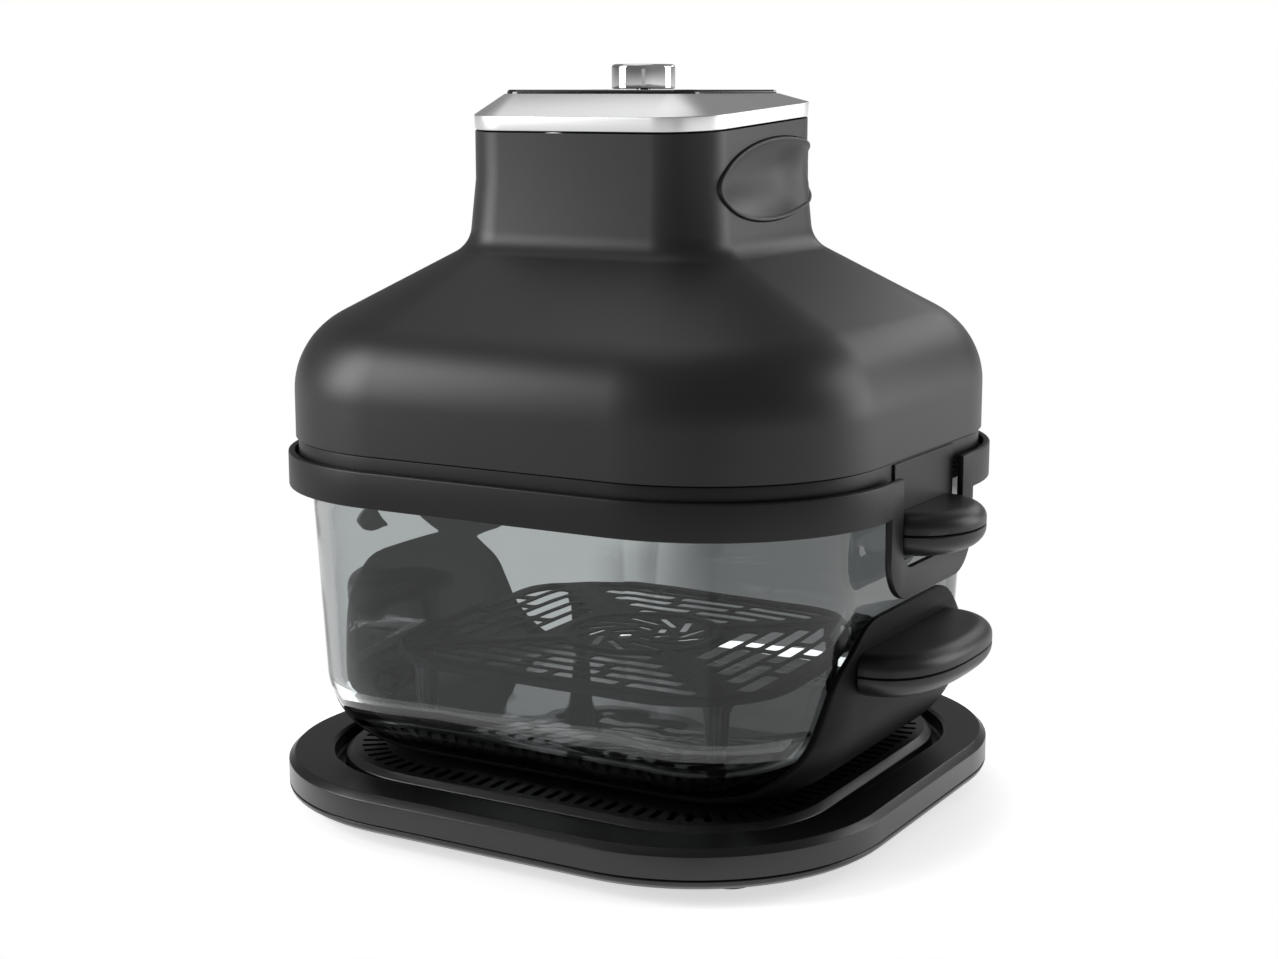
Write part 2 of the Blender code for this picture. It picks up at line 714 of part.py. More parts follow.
# -------------------------------------------------------------------- collar
def make_collar(collar):
    """Band round the bowl's rim, an inner flange and a U bracket on each side."""
    wall = COLLAR_WALL
    rings = [
        plan_ring(COLLAR_PLAN, 0.0, COLLAR_BOTTOM),
        plan_ring(COLLAR_PLAN, 0.0, COLLAR_TOP - 0.0008),
        plan_ring(COLLAR_PLAN, 0.0008, COLLAR_TOP),
        plan_ring(COLLAR_PLAN, wall, COLLAR_TOP),
        plan_ring(COLLAR_PLAN, wall, FLANGE_TOP),
        plan_ring(COLLAR_PLAN, FLANGE_REACH, FLANGE_TOP),
        plan_ring(COLLAR_PLAN, FLANGE_REACH, FLANGE_BOTTOM),
        plan_ring(COLLAR_PLAN, wall, FLANGE_BOTTOM),
        plan_ring(COLLAR_PLAN, wall, COLLAR_BOTTOM),
    ]
    band = add_object("collar_ring", loft(rings, closed=True), (0, 0, COLLAR_BOTTOM), collar,
                      soft_black())
    face = COLLAR_PLAN[0] / 2
    middle = COLLAR_BOTTOM + 0.006
    for side, word in ((1, "right"), (-1, "left")):
        arms = rounded_outline([
            (-BRACKET_HALF, middle, 0.0), (-BRACKET_HALF, BRACKET_BOTTOM, 0.020),
            (BRACKET_HALF, BRACKET_BOTTOM, 0.020), (BRACKET_HALF, middle, 0.0)], 5)
        plate = side_prism(arms, side * (face - wall), side * face)
        boolean(band, add_object(f"{word}_bracket", plate, (0, 0, COLLAR_BOTTOM), collar), "UNION")
        notch = rounded_outline([
            (-NOTCH_HALF, COLLAR_TOP + 0.01, 0.0), (-NOTCH_HALF, NOTCH_BOTTOM, 0.010),
            (NOTCH_HALF, NOTCH_BOTTOM, 0.010), (NOTCH_HALF, COLLAR_TOP + 0.01, 0.0)], 4)
        cut = side_prism(notch, side * (tab_inner() - GAP), side * (face + 0.01))
        boolean(band, add_object(f"{word}_notch", cut, (0, 0, COLLAR_BOTTOM), collar), "DIFFERENCE")
    seal_in = (COLLAR_PLAN[0] - BOWL_PLAN[0]) / 2
    rings = [plan_ring(COLLAR_PLAN, inset, height) for inset, height in (
        (seal_in - 0.0012, SEAL_BOTTOM), (seal_in - 0.0012, SEAL_TOP),
        (seal_in + GLASS_WALL + 0.001, SEAL_TOP), (seal_in + GLASS_WALL + 0.001, SEAL_BOTTOM))]
    add_object("rim_seal", loft(rings, closed=True), (0, 0, SEAL_BOTTOM), collar, silicone())


def tab_inner():
    """Inner face of the head's side tabs, which drop through the collar's notches."""
    return SKIRT_PLAN[0] / 2 - 0.0030


# ---------------------------------------------------------------------- head
def housing_profile():
    """(inset, height) outline: skirt, rounded shoulder, slope and neck."""
    run = (SKIRT_PLAN[0] - NECK_PLAN[0]) / 2
    corners = [
        (0.0, SEAM, 0.0),
        (0.0, SHOULDER, 0.0400),
        (run - NECK_FLARE, NECK_BASE, 0.0140),
        (run, NECK_BASE + NECK_HEIGHT * FLARE_SHARE, 0.0),
        (run, NECK_TOP, 0.0),
    ]
    return rounded_outline(corners, 6), run


def housing_ring(inset, run, height, tilt=0.0):
    """Plan between the skirt's and the neck's, by how far in it has moved."""
    share = inset / run
    plan = [a + (b - a) * share for a, b in zip(SKIRT_PLAN, NECK_PLAN)]
    return plan_ring(plan, 0.0, height, tilt)


def make_housing(head):
    outline, run = housing_profile()
    rings = [housing_ring(inset, run, height) for inset, height in outline[:-1]]
    rings.append(housing_ring(run, run, NECK_TOP, TRIM_TILT))
    housing = add_object("head_housing", loft(rings), (0, 0, SEAM), head, satin_black())
    shell = housing.modifiers.new("wall", "SOLIDIFY")
    shell.thickness = HOUSING_WALL
    shell.offset = -1.0
    shell.use_even_offset = True
    for side, word in ((1, "right"), (-1, "left")):
        hole = grip_oval(GRIP_HOLE, 24)
        bm = side_prism(hole, side * 0.030, side * 0.080)
        boolean(housing, add_object(f"{word}_grip_hole", bm, (0, 0, NECK_TOP), head), "DIFFERENCE")
    boolean(housing, back_vents(head), "DIFFERENCE")
    z = SEAM + GLAND_HEIGHT
    hole = cylinder(GLAND_DIAMETER + 2 * GAP, -0.03, 0.03, segments=24)
    bmesh.ops.rotate(hole, verts=hole.verts, matrix=Matrix.Rotation(math.radians(90), 3, "X"))
    bmesh.ops.translate(hole, verts=hole.verts, vec=(0, SKIRT_PLAN[1] / 2, z))
    boolean(housing, add_object("gland_hole", hole, (0, SKIRT_PLAN[1] / 2, z), head), "DIFFERENCE")


def back_vents(head):
    """Cooling slots in the back of the neck."""
    bm = bmesh.new()
    for row in range(5):
        z = NECK_TOP - 0.014 - row * 0.0070
        y = NECK_PLAN[1] / 2
        shift = Matrix.Translation((0, y, z))
        size = Matrix.Diagonal((0.052, 0.014, 0.0028, 1.0))
        bmesh.ops.create_cube(bm, size=1.0, matrix=shift @ size)
    return add_object("neck_vents", bm, (0, 0, NECK_TOP), head)


def grip_oval(scale, count):
    """(y, z) points of the finger grip's oval, leaning with the trim."""
    points = []
    for index in range(count):
        turn = 2 * math.pi * index / count
        angle = turn - 0.35 * math.sin(turn)          # closer points round the neck's corner
        y = GRIP_CENTRE_Y + scale * GRIP_HALF_LENGTH * math.cos(angle)
        z = NECK_TOP - GRIP_DROP + scale * GRIP_HALF_HEIGHT * math.sin(angle) + TRIM_TILT * y
        points.append((y, z))
    return points


def neck_point(side, y, z, out):
    """Point of the neck's side at a depth and a height, moved out square to it."""
    run = (SKIRT_PLAN[0] - NECK_PLAN[0]) / 2
    drop = max(NECK_BASE + NECK_HEIGHT * FLARE_SHARE - z, 0.0)
    share = NECK_FLARE * drop / (NECK_HEIGHT * FLARE_SHARE) / run
    width, depth, bend = [a + (b - a) * share for a, b in zip(NECK_PLAN, SKIRT_PLAN)]
    past = max(abs(y) - (depth / 2 - bend), 0.0)
    turn = math.asin(min(past / bend, 1.0))
    x = width / 2 - bend * (1 - math.cos(turn)) + out * math.cos(turn)
    return Vector((side * x, y + math.copysign(out * math.sin(turn), y), z))


def grip_depth(y):
    """Share of the dish's depth, running out towards the neck's back corner."""
    start = GRIP_CENTRE_Y + GRIP_HALF_LENGTH * 0.07
    share = min(max((y - start) / (GRIP_HALF_LENGTH * 0.65), 0.0), 1.0)
    return 1 - share * share * (3 - 2 * share)


def make_grips(head):
    """Dished ovals set over openings in the neck's sides."""
    seat = GAP * 1.5
    face = [(1.00, seat, 0.0), (0.985, GRIP_PROUD, 0.0), (0.90, GRIP_PROUD, 0.0),
            (0.83, -0.0006, 0.0), (0.68, -0.0006, 0.62), (0.35, -0.0006, 0.88)]
    back = [(0.35, -0.0006 - GRIP_WALL, 0.88), (0.70, -0.0006 - GRIP_WALL, 0.56),
            (0.86, -0.0026, 0.0), (0.885, seat, 0.0), (0.92, seat, 0.0), (0.96, seat, 0.0)]
    for side, word in ((1, "right"), (-1, "left")):
        rings = []
        for scale, out, sunk in face + back:
            rings.append([neck_point(side, y, z, out - sunk * GRIP_DISH * grip_depth(y))
                          for y, z in grip_oval(scale, 30)])
        bm = loft_cup(rings, len(face))
        origin = (side * NECK_PLAN[0] / 2, GRIP_CENTRE_Y, NECK_TOP - GRIP_DROP)
        add_object(f"{word}_finger_grip", bm, origin, head, grip_grey())


def make_trim(head):
    """Silver frame: a leaning band, a wide chamfer and the panel's seat."""
    low = TRIM_BOTTOM
    band = low + TRIM_BAND
    wall = 0.0018
    rings = [
        plan_ring(NECK_PLAN, 0.0, low, TRIM_TILT),
        plan_ring(NECK_PLAN, -0.0004, low + 0.0006, TRIM_TILT),
        plan_ring(NECK_PLAN, -0.0004, band - 0.0005, TRIM_TILT),
        plan_ring(NECK_PLAN, 0.0002, band, TRIM_TILT),
        plan_ring(NECK_PLAN, TRIM_INSET, TRIM_TOP),
        plan_ring(NECK_PLAN, TRIM_INSET, TRIM_TOP - 0.0030),
        plan_ring(NECK_PLAN, wall + 0.001, band - wall - 0.0005, TRIM_TILT),
        plan_ring(NECK_PLAN, wall, low, TRIM_TILT),
    ]
    add_object("trim_cap", loft(rings, closed=True), (0, 0, TRIM_BOTTOM), head, satin_silver())


def make_top_panel(head):
    inset = TRIM_INSET + GAP
    rings = [
        plan_ring(NECK_PLAN, inset + 0.0016, PANEL_TOP),
        plan_ring(NECK_PLAN, inset + 0.0004, PANEL_TOP - 0.0010),
        plan_ring(NECK_PLAN, inset, PANEL_TOP - 0.0020),
        plan_ring(NECK_PLAN, inset, PANEL_TOP - PANEL_DEPTH),
        plan_ring(NECK_PLAN, inset + 0.0020, PANEL_TOP - PANEL_DEPTH),
        plan_ring(NECK_PLAN, inset + 0.0020, PANEL_TOP - 0.0025),
    ]
    panel = add_object("top_panel", loft(rings, True, True), (0, 0, PANEL_TOP), head,
                       gloss_black())
    hole = cylinder(KNOB_SHAFT_DIAMETER + 0.0016, PANEL_TOP - 0.01, PANEL_TOP + 0.01)
    boolean(panel, add_object("panel_hole", hole, (0, 0, PANEL_TOP), head), "DIFFERENCE")


def make_head_ring(head):
    """Ring under the skirt; its floor rests on the collar's flange."""
    edge = 0.0012
    wall = RING_WALL
    floor = RING_SHELF
    rings = [plan_ring(SKIRT_PLAN, inset, height) for inset, height in (
        (edge, RING_BOTTOM), (edge, RING_TOP), (edge + wall, RING_TOP),
        (edge + wall, RING_BOTTOM + wall), (edge + floor, RING_BOTTOM + wall),
        (edge + floor, RING_BOTTOM))]
    ring = add_object("head_ring", loft(rings, closed=True), (0, 0, RING_BOTTOM), head,
                      soft_black())
    half = NOTCH_HALF - 0.0006
    for side, word in ((1, "right"), (-1, "left")):
        outline = rounded_outline([
            (-half, RING_BOTTOM + 0.004, 0.0), (-half, NOTCH_BOTTOM + 0.0015, 0.010),
            (half, NOTCH_BOTTOM + 0.0015, 0.010), (half, RING_BOTTOM + 0.004, 0.0)], 4)
        tab = side_prism(outline, side * tab_inner(), side * (tab_inner() + TAB_THICKNESS))
        boolean(ring, add_object(f"{word}_tab", tab, (0, 0, RING_BOTTOM), head), "UNION")


def make_head_handles(head):
    root = tab_inner() + TAB_THICKNESS + GAP
    reach = HEAD_HANDLE_REACH + 0.0012
    for side, word in ((1, "right"), (-1, "left")):
        upper = handle_half(f"{word}_head_handle_top", root, reach, HEAD_HANDLE_SPREAD, 2.0,
                            upper_levels(HEAD_HANDLE_SPLIT, HANDLE_TOP), side, head,
                            soft_black())
        lower = handle_half(f"{word}_head_handle_base", root, reach, HEAD_HANDLE_SPREAD, 2.0,
                            lower_levels(HEAD_HANDLE_SPLIT, HANDLE_BOTTOM), side, head,
                            soft_black())
        places = [(side * (root + 0.0085), 0.0)]
        fasten(f"{word}_head_handle", upper, lower, HEAD_HANDLE_SPLIT, places, head)


def make_gland(head):
    """Bushing where the mains lead would leave the back of the head."""
    z = SEAM + GLAND_HEIGHT
    y = SKIRT_PLAN[1] / 2
    bore = 0.0036
    neck = GLAND_DIAMETER / 2
    profile = [(neck * 0.75, 0.0090), (neck * 1.25, 0.0025), (neck * 1.25, 0.0006), (neck, 0.0006),
               (neck, -0.0060), (bore, -0.0060), (bore, 0.0090)]
    gland = turned("cord_gland", profile, (0.0, 0.0, 0.0), None, silicone(), 24)
    gland.rotation_euler = (math.radians(-90), 0, 0)
    gland.parent = head
    gland.location = Vector((0, y, z)) - BODY_ORIGINS[head.name]


def make_air_system(head, fan):
    """Reflector, guard, element, motor, bracket and the parts on the shaft."""
    seat = SHIELD_SEAT
    roof = SHIELD_ROOF
    reflector_plan = [value - SHIELD_INSET for value in SKIRT_PLAN[:2]]
    reflector_plan.append(SKIRT_PLAN[2] - 0.015)
    outline = rounded_outline([
        (0.0, seat, 0.0), (0.0080, seat, 0.0), (0.0120, roof - 0.012, 0.0), (0.0260, roof, 0.0)])
    rings = [plan_ring(reflector_plan, inset - 0.0080, height) for inset, height in outline]
    shield = add_object("heat_reflector", loft(rings, False, True), (0, 0, seat), head,
                        sheet_steel())
    shell = shield.modifiers.new("sheet", "SOLIDIFY")
    shell.thickness = SHEET
    shell.offset = -1.0
    shell.use_even_offset = True
    hole = cylinder(SHAFT_DIAMETER + 0.006, roof - 0.006, roof + 0.006)
    boolean(shield, add_object("shaft_hole", hole, (0, 0, roof), head), "DIFFERENCE")
    for side in (1, -1):
        x = side * TERMINAL_SPREAD
        bm = cylinder(ELEMENT_DIAMETER + 0.003, roof - 0.02, roof + 0.01, (x, terminal_y()), 16)
        boolean(shield, add_object(f"terminal_hole_{side}", bm, (x, 0, roof), head), "DIFFERENCE")
    make_guard(head, seat, reflector_plan)
    make_element(head, seat + ELEMENT_LIFT, roof + 0.0120)
    make_motor(head, fan, seat, roof)


def make_guard(head, seat, plan):
    """Slotted sheet over the fan that the food faces."""
    inner = [plan[0] - 0.012, plan[1] - 0.012, plan[2] - 0.006]
    low = seat - 0.0015
    rings = [plan_ring(inner, 0.0, low), plan_ring(inner, 0.0, low + SHEET)]
    guard = add_object("fan_guard", loft(rings, True, True), (0, 0, low), head, sheet_steel())
    bm = bmesh.new()
    for radius, count in ((0.028, 6), (0.050, 10), (0.072, 14)):
        for index in range(count):
            turn = Matrix.Rotation(2 * math.pi * index / count, 4, "Z")
            shift = Matrix.Translation((radius, 0, low))
            size = Matrix.Diagonal((0.016, 0.006, 0.01, 1.0))
            bmesh.ops.create_cube(bm, size=1.0, matrix=turn @ shift @ size)
    boolean(guard, add_object("guard_slots", bm, (0, 0, low), head), "DIFFERENCE")


def terminal_y():
    """Depth of the element's two upright ends on its ring."""
    return math.sqrt((ELEMENT_RING / 2) ** 2 - TERMINAL_SPREAD ** 2)


def make_element(head, height, top):
    """Ring heater with both ends turned up through the reflector."""
    radius = ELEMENT_RING / 2
    start = math.asin(TERMINAL_SPREAD / radius)
    steps = 28
    route = [Vector((TERMINAL_SPREAD, radius * math.cos(start), top))]
    for step in range(steps + 1):
        angle = start + (2 * math.pi - 2 * start) * step / steps
        route.append(Vector((radius * math.sin(angle), radius * math.cos(angle), height)))
    route.append(Vector((-TERMINAL_SPREAD, radius * math.cos(start), top)))
    curve = bpy.data.curves.new("heating_element", "CURVE")
    curve.dimensions = "3D"
    curve.bevel_depth = ELEMENT_DIAMETER / 2
    curve.bevel_resolution = 2
    curve.use_fill_caps = True
    spline = curve.splines.new("POLY")
    spline.points.add(len(route) - 1)
    for point, place_at in zip(spline.points, route):
        point.co = (*(place_at - Vector((0, 0, height))), 1.0)
    curve.materials.append(element_steel())
    item = bpy.data.objects.new("heating_element", curve)
    PARTS.objects.link(item)
    place(item, (0, 0, height), head)


def make_motor(head, fan, seat, roof):
    deck = roof + BRACKET_LIFT
    motor_low = deck + SHEET + GAP
    motor_top = motor_low + MOTOR_HEIGHT
    bore = SHAFT_DIAMETER / 2 + 0.0006
    radius = MOTOR_DIAMETER / 2
    plate = box((-0.062, 0.062), (-0.020, 0.020), (deck, deck + SHEET))
    bracket = add_object("motor_bracket", plate, (0, 0, deck), head, sheet_steel())
    for side, word in ((1, "right"), (-1, "left")):
        leg = box(sorted((side * 0.061, side * 0.062)), (-0.020, 0.020),
                  (roof + SHEET + GAP, deck + SHEET))
        boolean(bracket, add_object(f"{word}_leg", leg, (0, 0, deck), head), "UNION")
    hole = cylinder(SHAFT_DIAMETER + 0.006, deck - 0.01, deck + 0.01)
    boolean(bracket, add_object("bracket_hole", hole, (0, 0, deck), head), "DIFFERENCE")
    profile = [(bore, motor_top), (radius * 0.8, motor_top), (radius, motor_top - 0.004),
               (radius, motor_low + 0.002), (radius - 0.002, motor_low), (bore, motor_low)]
    turned("fan_motor", profile, (0, 0, motor_low), head, sheet_steel(), 24)
    shaft_low = seat + 0.0080
    shaft_top = motor_top + 0.0120
    turned("fan_shaft", [(0, shaft_top), (SHAFT_DIAMETER / 2, shaft_top),
                         (SHAFT_DIAMETER / 2, shaft_low), (0, shaft_low)],
           (0, 0, shaft_low), fan, sheet_steel(), 16)
    fan_wheel("hot_air_fan", shaft_low + 0.0075, FAN_DIAMETER, 0.013, FAN_BLADES, fan)
    fan_wheel("cooling_fan", motor_top + 0.0020, MOTOR_DIAMETER, 0.007, FAN_BLADES - 2, fan)
    nut = cylinder(0.0110, shaft_low + 0.0015, shaft_low + 0.0070, segments=6)
    nut_item = add_object("fan_nut", nut, (0, 0, shaft_low), fan, sheet_steel())
    bm = cylinder(SHAFT_DIAMETER + 2 * GAP, shaft_low - 0.01, shaft_low + 0.02, segments=16)
    boolean(nut_item, add_object("nut_bore", bm, (0, 0, shaft_low), fan), "DIFFERENCE")


def fan_wheel(name, low, diameter, height, blades, fan):
    """Back disc, hub and upright blades, united into one wheel."""
    disc = cylinder(diameter, low + height - SHEET, low + height, segments=36)
    wheel = add_object(name, disc, (0, 0, low), fan, sheet_steel())
    hub = cylinder(0.0140, low, low + height, segments=16)
    boolean(wheel, add_object(f"{name}_hub", hub, (0, 0, low), fan), "UNION")
    bm = bmesh.new()
    for index in range(blades):
        turn = Matrix.Rotation(2 * math.pi * index / blades, 4, "Z")
        lean = Matrix.Rotation(math.radians(25), 4, "Z")
        shift = Matrix.Translation((diameter * 0.32, 0, low + height / 2 - SHEET / 4))
        size = Matrix.Diagonal((diameter * 0.28, SHEET, height - SHEET / 2, 1.0))
        bmesh.ops.create_cube(bm, size=1.0, matrix=turn @ shift @ lean @ size)
    boolean(wheel, add_object(f"{name}_blades", bm, (0, 0, low), fan), "UNION")
    bore = cylinder(SHAFT_DIAMETER + 2 * GAP, low - 0.01, low + height + 0.01, segments=16)
    boolean(wheel, add_object(f"{name}_bore", bore, (0, 0, low), fan), "DIFFERENCE")


def make_controls(head, knob):
    """Control board, rotary switch, thermal cut-out, knob and its shaft."""
    board_z = BOARD_BOTTOM
    board_top = board_z + BOARD_THICKNESS
    plate = box((-0.040, 0.040), (-0.034, 0.034), (board_z, board_top))
    board = add_object("control_board", plate, (0, 0, board_z), head, board_green())
    hole = cylinder(KNOB_SHAFT_DIAMETER + 0.002, board_z - 0.01, board_z + 0.01)
    boolean(board, add_object("board_hole", hole, (0, 0, board_z), head), "DIFFERENCE")
    low = board_top + GAP
    top = low + SWITCH_HEIGHT
    radius = KNOB_SHAFT_DIAMETER / 2
    bore = radius + 0.0006
    switch_radius = SWITCH_DIAMETER / 2
    turned("rotary_switch", [(bore, top), (switch_radius, top), (switch_radius, low), (bore, low)],
           (0, 0, low), head, gloss_black(), 20)
    shaft_top = KNOB_BOTTOM + KNOB_HEIGHT * 0.7
    turned("knob_shaft", [(0, shaft_top), (radius, shaft_top), (radius, low + 0.001),
                          (0, low + 0.001)], (0, 0, low), knob, sheet_steel(), 20)
    make_knob(knob, shaft_top + GAP)
    low = SHIELD_ROOF + SHEET + GAP
    top = low + CUTOUT_HEIGHT
    radius = CUTOUT_DIAMETER / 2
    turned("thermal_cutout", [(0, top), (radius, top), (radius, low), (0, low)],
           (0.0, -0.045, low), head, soft_black(), 20)


def make_knob(knob, bore_top):
    radius = KNOB_DIAMETER / 2
    top = KNOB_BOTTOM + KNOB_HEIGHT
    bore = KNOB_SHAFT_DIAMETER / 2 + GAP
    profile = [(0.0, top), (radius - 0.0014, top), (radius - 0.0004, top - 0.0004),
               (radius, top - 0.0014), (radius, KNOB_BOTTOM + 0.0006),
               (radius - 0.0006, KNOB_BOTTOM), (bore, KNOB_BOTTOM), (bore, bore_top),
               (0.0, bore_top)]
    item = turned("control_knob", profile, (0, 0, KNOB_BOTTOM), knob, chrome(), 36)
    mark = box((-0.0009, 0.0009), (-radius - 0.002, -radius + 0.0050), (top - 0.0012, top + 0.002))
    bmesh.ops.rotate(mark, verts=mark.verts, matrix=Matrix.Rotation(POINTER_TURN, 3, "Z"))
    boolean(item, add_object("pointer_cut", mark, (0, 0, top), knob), "DIFFERENCE")


# --------------------------------------------------------------------- build
clear_scene()
PARTS = new_collection(NAME)
CUTTERS = new_collection("cutters")


def main():
    base = add_empty("base_body", (0, 0, 0))
    bowl = add_empty("bowl_body", (0, 0, BASE_TOP), base)
    crisper = add_empty("crisper_body", (0, 0, BOWL_FLOOR), bowl)
    collar = add_empty("collar_body", (0, 0, BOWL_RIM), bowl)
    head = add_empty("head_body", (0, 0, SEAM), collar)
    knob = add_empty("knob_body", (0, 0, KNOB_BOTTOM), head)
    fan = add_empty("fan_body", (0, 0, SEAM), head)

    make_base_tray(base)
    make_base_bottom(base)
    make_base_feet(base)
    make_base_screws(base)
    make_glass_bowl(bowl)
    make_cradle(bowl)
    make_bowl_handles(bowl)
    make_crisper(crisper)
    make_collar(collar)
    make_housing(head)
    make_grips(head)
    make_trim(head)
    make_top_panel(head)
    make_head_ring(head)
    make_head_handles(head)
    make_gland(head)
    make_air_system(head, fan)
    make_controls(head, knob)


main()
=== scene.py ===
import json
import math
import bmesh
import bpy
from mathutils import Matrix, Vector

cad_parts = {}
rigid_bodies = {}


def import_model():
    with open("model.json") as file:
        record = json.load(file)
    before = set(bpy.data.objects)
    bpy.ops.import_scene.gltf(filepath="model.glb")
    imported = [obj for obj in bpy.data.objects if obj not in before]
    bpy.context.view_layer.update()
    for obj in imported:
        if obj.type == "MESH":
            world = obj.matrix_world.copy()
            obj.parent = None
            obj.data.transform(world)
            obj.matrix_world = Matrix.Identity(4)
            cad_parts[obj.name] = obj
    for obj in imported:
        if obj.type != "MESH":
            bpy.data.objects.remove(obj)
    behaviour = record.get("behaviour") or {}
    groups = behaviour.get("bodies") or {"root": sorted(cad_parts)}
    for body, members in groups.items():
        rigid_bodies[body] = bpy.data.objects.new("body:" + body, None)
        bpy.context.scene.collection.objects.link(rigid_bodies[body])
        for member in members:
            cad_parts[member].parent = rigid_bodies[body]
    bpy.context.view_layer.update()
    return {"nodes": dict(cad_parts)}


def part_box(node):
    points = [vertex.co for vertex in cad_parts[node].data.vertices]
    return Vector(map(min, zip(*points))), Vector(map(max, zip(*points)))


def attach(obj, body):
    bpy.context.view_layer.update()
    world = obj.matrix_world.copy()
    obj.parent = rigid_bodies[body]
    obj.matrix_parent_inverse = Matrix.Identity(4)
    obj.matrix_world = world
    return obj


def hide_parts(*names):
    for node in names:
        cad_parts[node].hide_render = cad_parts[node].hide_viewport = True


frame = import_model()
nodes = frame["nodes"]
scene = bpy.context.scene
print("frame loaded,", len(nodes), "nodes")


# ---- camera, floor and light
studio = {
    "camera": (0.4971, -0.8580, 0.3287),
    "tilt": 79.637, "turn": 30.09,
    "lens": 60.13, "shift": -0.0034,
    # the floor's painted glow: dimmer (floorShade) near the object as painted shade, full white
    # from floorGlow outward
    "floorRadius": 0.235, "floorGlow": (0.15, 0.222), "floorShade": 0.62,
    "roomLight": 0.20, "tableLight": 0.85,                       # what the object reflects
    "frontShare": 0.66, "cameraShade": 0.30,
    "glassLight": 0.46, "glassDark": 0.13,                       # what shows through the glass
    "skyLight": 1.0,              # what shows behind it
}
lamps = {                         # place, size across and up, watts, aim height
    "leftSoftbox": ((-1.25, -0.95, 0.75), (0.8, 1.0), 19.0, 0.22),
    "backRightSoftbox": ((1.15, 1.05, 0.60), (0.8, 1.1), 8.0, 0.20),
    "backStrip": ((0.25, 1.35, 0.75), (0.7, 0.25), 1.4, 0.05),
    "overhead": ((-0.45, 0.15, 1.70), (1.2, 1.2), 3.4, 0.0),
}


finishes = {}


def feed(tree, socket, value):
    if isinstance(value, bpy.types.NodeSocket):
        tree.links.new(value, socket)
    else:
        socket.default_value = value


def fill(tree, node, **values):
    for label, value in values.items():
        feed(tree, node.inputs[label.replace("_", " ")], value)
    return node


def addNode(tree, kind, **values):
    # settings first, because some of them bring inputs with them
    node = tree.nodes.new(kind)
    for setting in ("mode", "operation", "data_type", "interpolation_type"):
        if setting in values:
            setattr(node, setting, values.pop(setting))
    return fill(tree, node, **values)


def newLook(name):
    look = bpy.data.materials.new(name)
    look.use_nodes = True
    tree = look.node_tree
    coords = addNode(tree, "ShaderNodeTexCoord").outputs["Object"]
    finishes[name] = look
    return look, tree, tree.nodes["Principled BSDF"], coords


def makeCamera():
    camera = bpy.data.cameras.new("camera")
    camera.lens = studio["lens"]
    camera.sensor_width = 36.0
    camera.shift_x = studio["shift"]
    camera.clip_start = 0.01
    item = bpy.data.objects.new("camera", camera)
    item.location = studio["camera"]
    item.rotation_euler = (math.radians(studio["tilt"]), 0.0, math.radians(studio["turn"]))
    scene.collection.objects.link(item)
    scene.camera = item


def makeLamp(name, place, size, watts, aim):
    lamp = bpy.data.lights.new(name, "AREA")
    lamp.shape = "RECTANGLE"
    lamp.size, lamp.size_y = size
    lamp.energy = watts
    item = bpy.data.objects.new(name, lamp)
    item.location = place
    away = Vector(place) - Vector((0.0, 0.0, aim))
    item.rotation_euler = away.to_track_quat("Z", "Y").to_euler()
    item.visible_camera = False
    item.visible_transmission = False
    scene.collection.objects.link(item)


def makeRoom():
    # white behind the object, and a dark room with soft glows for what it reflects
    world = bpy.data.worlds.new("room")
    scene.world = world
    world.use_nodes = True
    tree = world.node_tree
    tree.nodes.clear()
    coords = addNode(tree, "ShaderNodeTexCoord").outputs["Generated"]

    def glow(direction, start, end, low, high):
        facing = addNode(tree, "ShaderNodeVectorMath", operation="DOT_PRODUCT")
        feed(tree, facing.inputs[0], coords)
        feed(tree, facing.inputs[1], Vector(direction).normalized())
        ramp = addNode(tree, "ShaderNodeMapRange", interpolation_type="SMOOTHSTEP",
                       Value=facing.outputs["Value"], From_Min=start, From_Max=end,
                       To_Min=low, To_Max=high)
        return ramp.outputs["Result"]

    def times(a, b):
        node = addNode(tree, "ShaderNodeMath", operation="MULTIPLY")
        feed(tree, node.inputs[0], a)
        feed(tree, node.inputs[1], b)
        return node.outputs[0]

    def choose(factor, a, b):
        return addNode(tree, "ShaderNodeMix", Factor=factor, A=a, B=b).outputs["Result"]

    table = glow((0.0, 0.0, -1.0), -0.12, 0.10, studio["roomLight"], studio["tableLight"])
    rightSide = glow((0.60, 0.80, 0.0), -0.75, 0.30, studio["frontShare"], 1.0)
    cameraSide = glow((0.493, -0.852, -0.18), 0.980, 0.998, 1.0, studio["cameraShade"])
    reflected = times(times(table, rightSide), cameraSide)
    throughGlass = glow((0.865, 0.501, 0.0), -0.03, 0.03, studio["glassLight"],
                        studio["glassDark"])
    path = addNode(tree, "ShaderNodeLightPath")
    seen = choose(path.outputs["Is Transmission Ray"], reflected, throughGlass)
    seen = choose(path.outputs["Is Camera Ray"], seen, studio["skyLight"])
    backdrop = addNode(tree, "ShaderNodeBackground", Color=(1.0, 1.0, 1.0, 1.0), Strength=seen)
    addNode(tree, "ShaderNodeOutputWorld", Surface=backdrop.outputs[0])


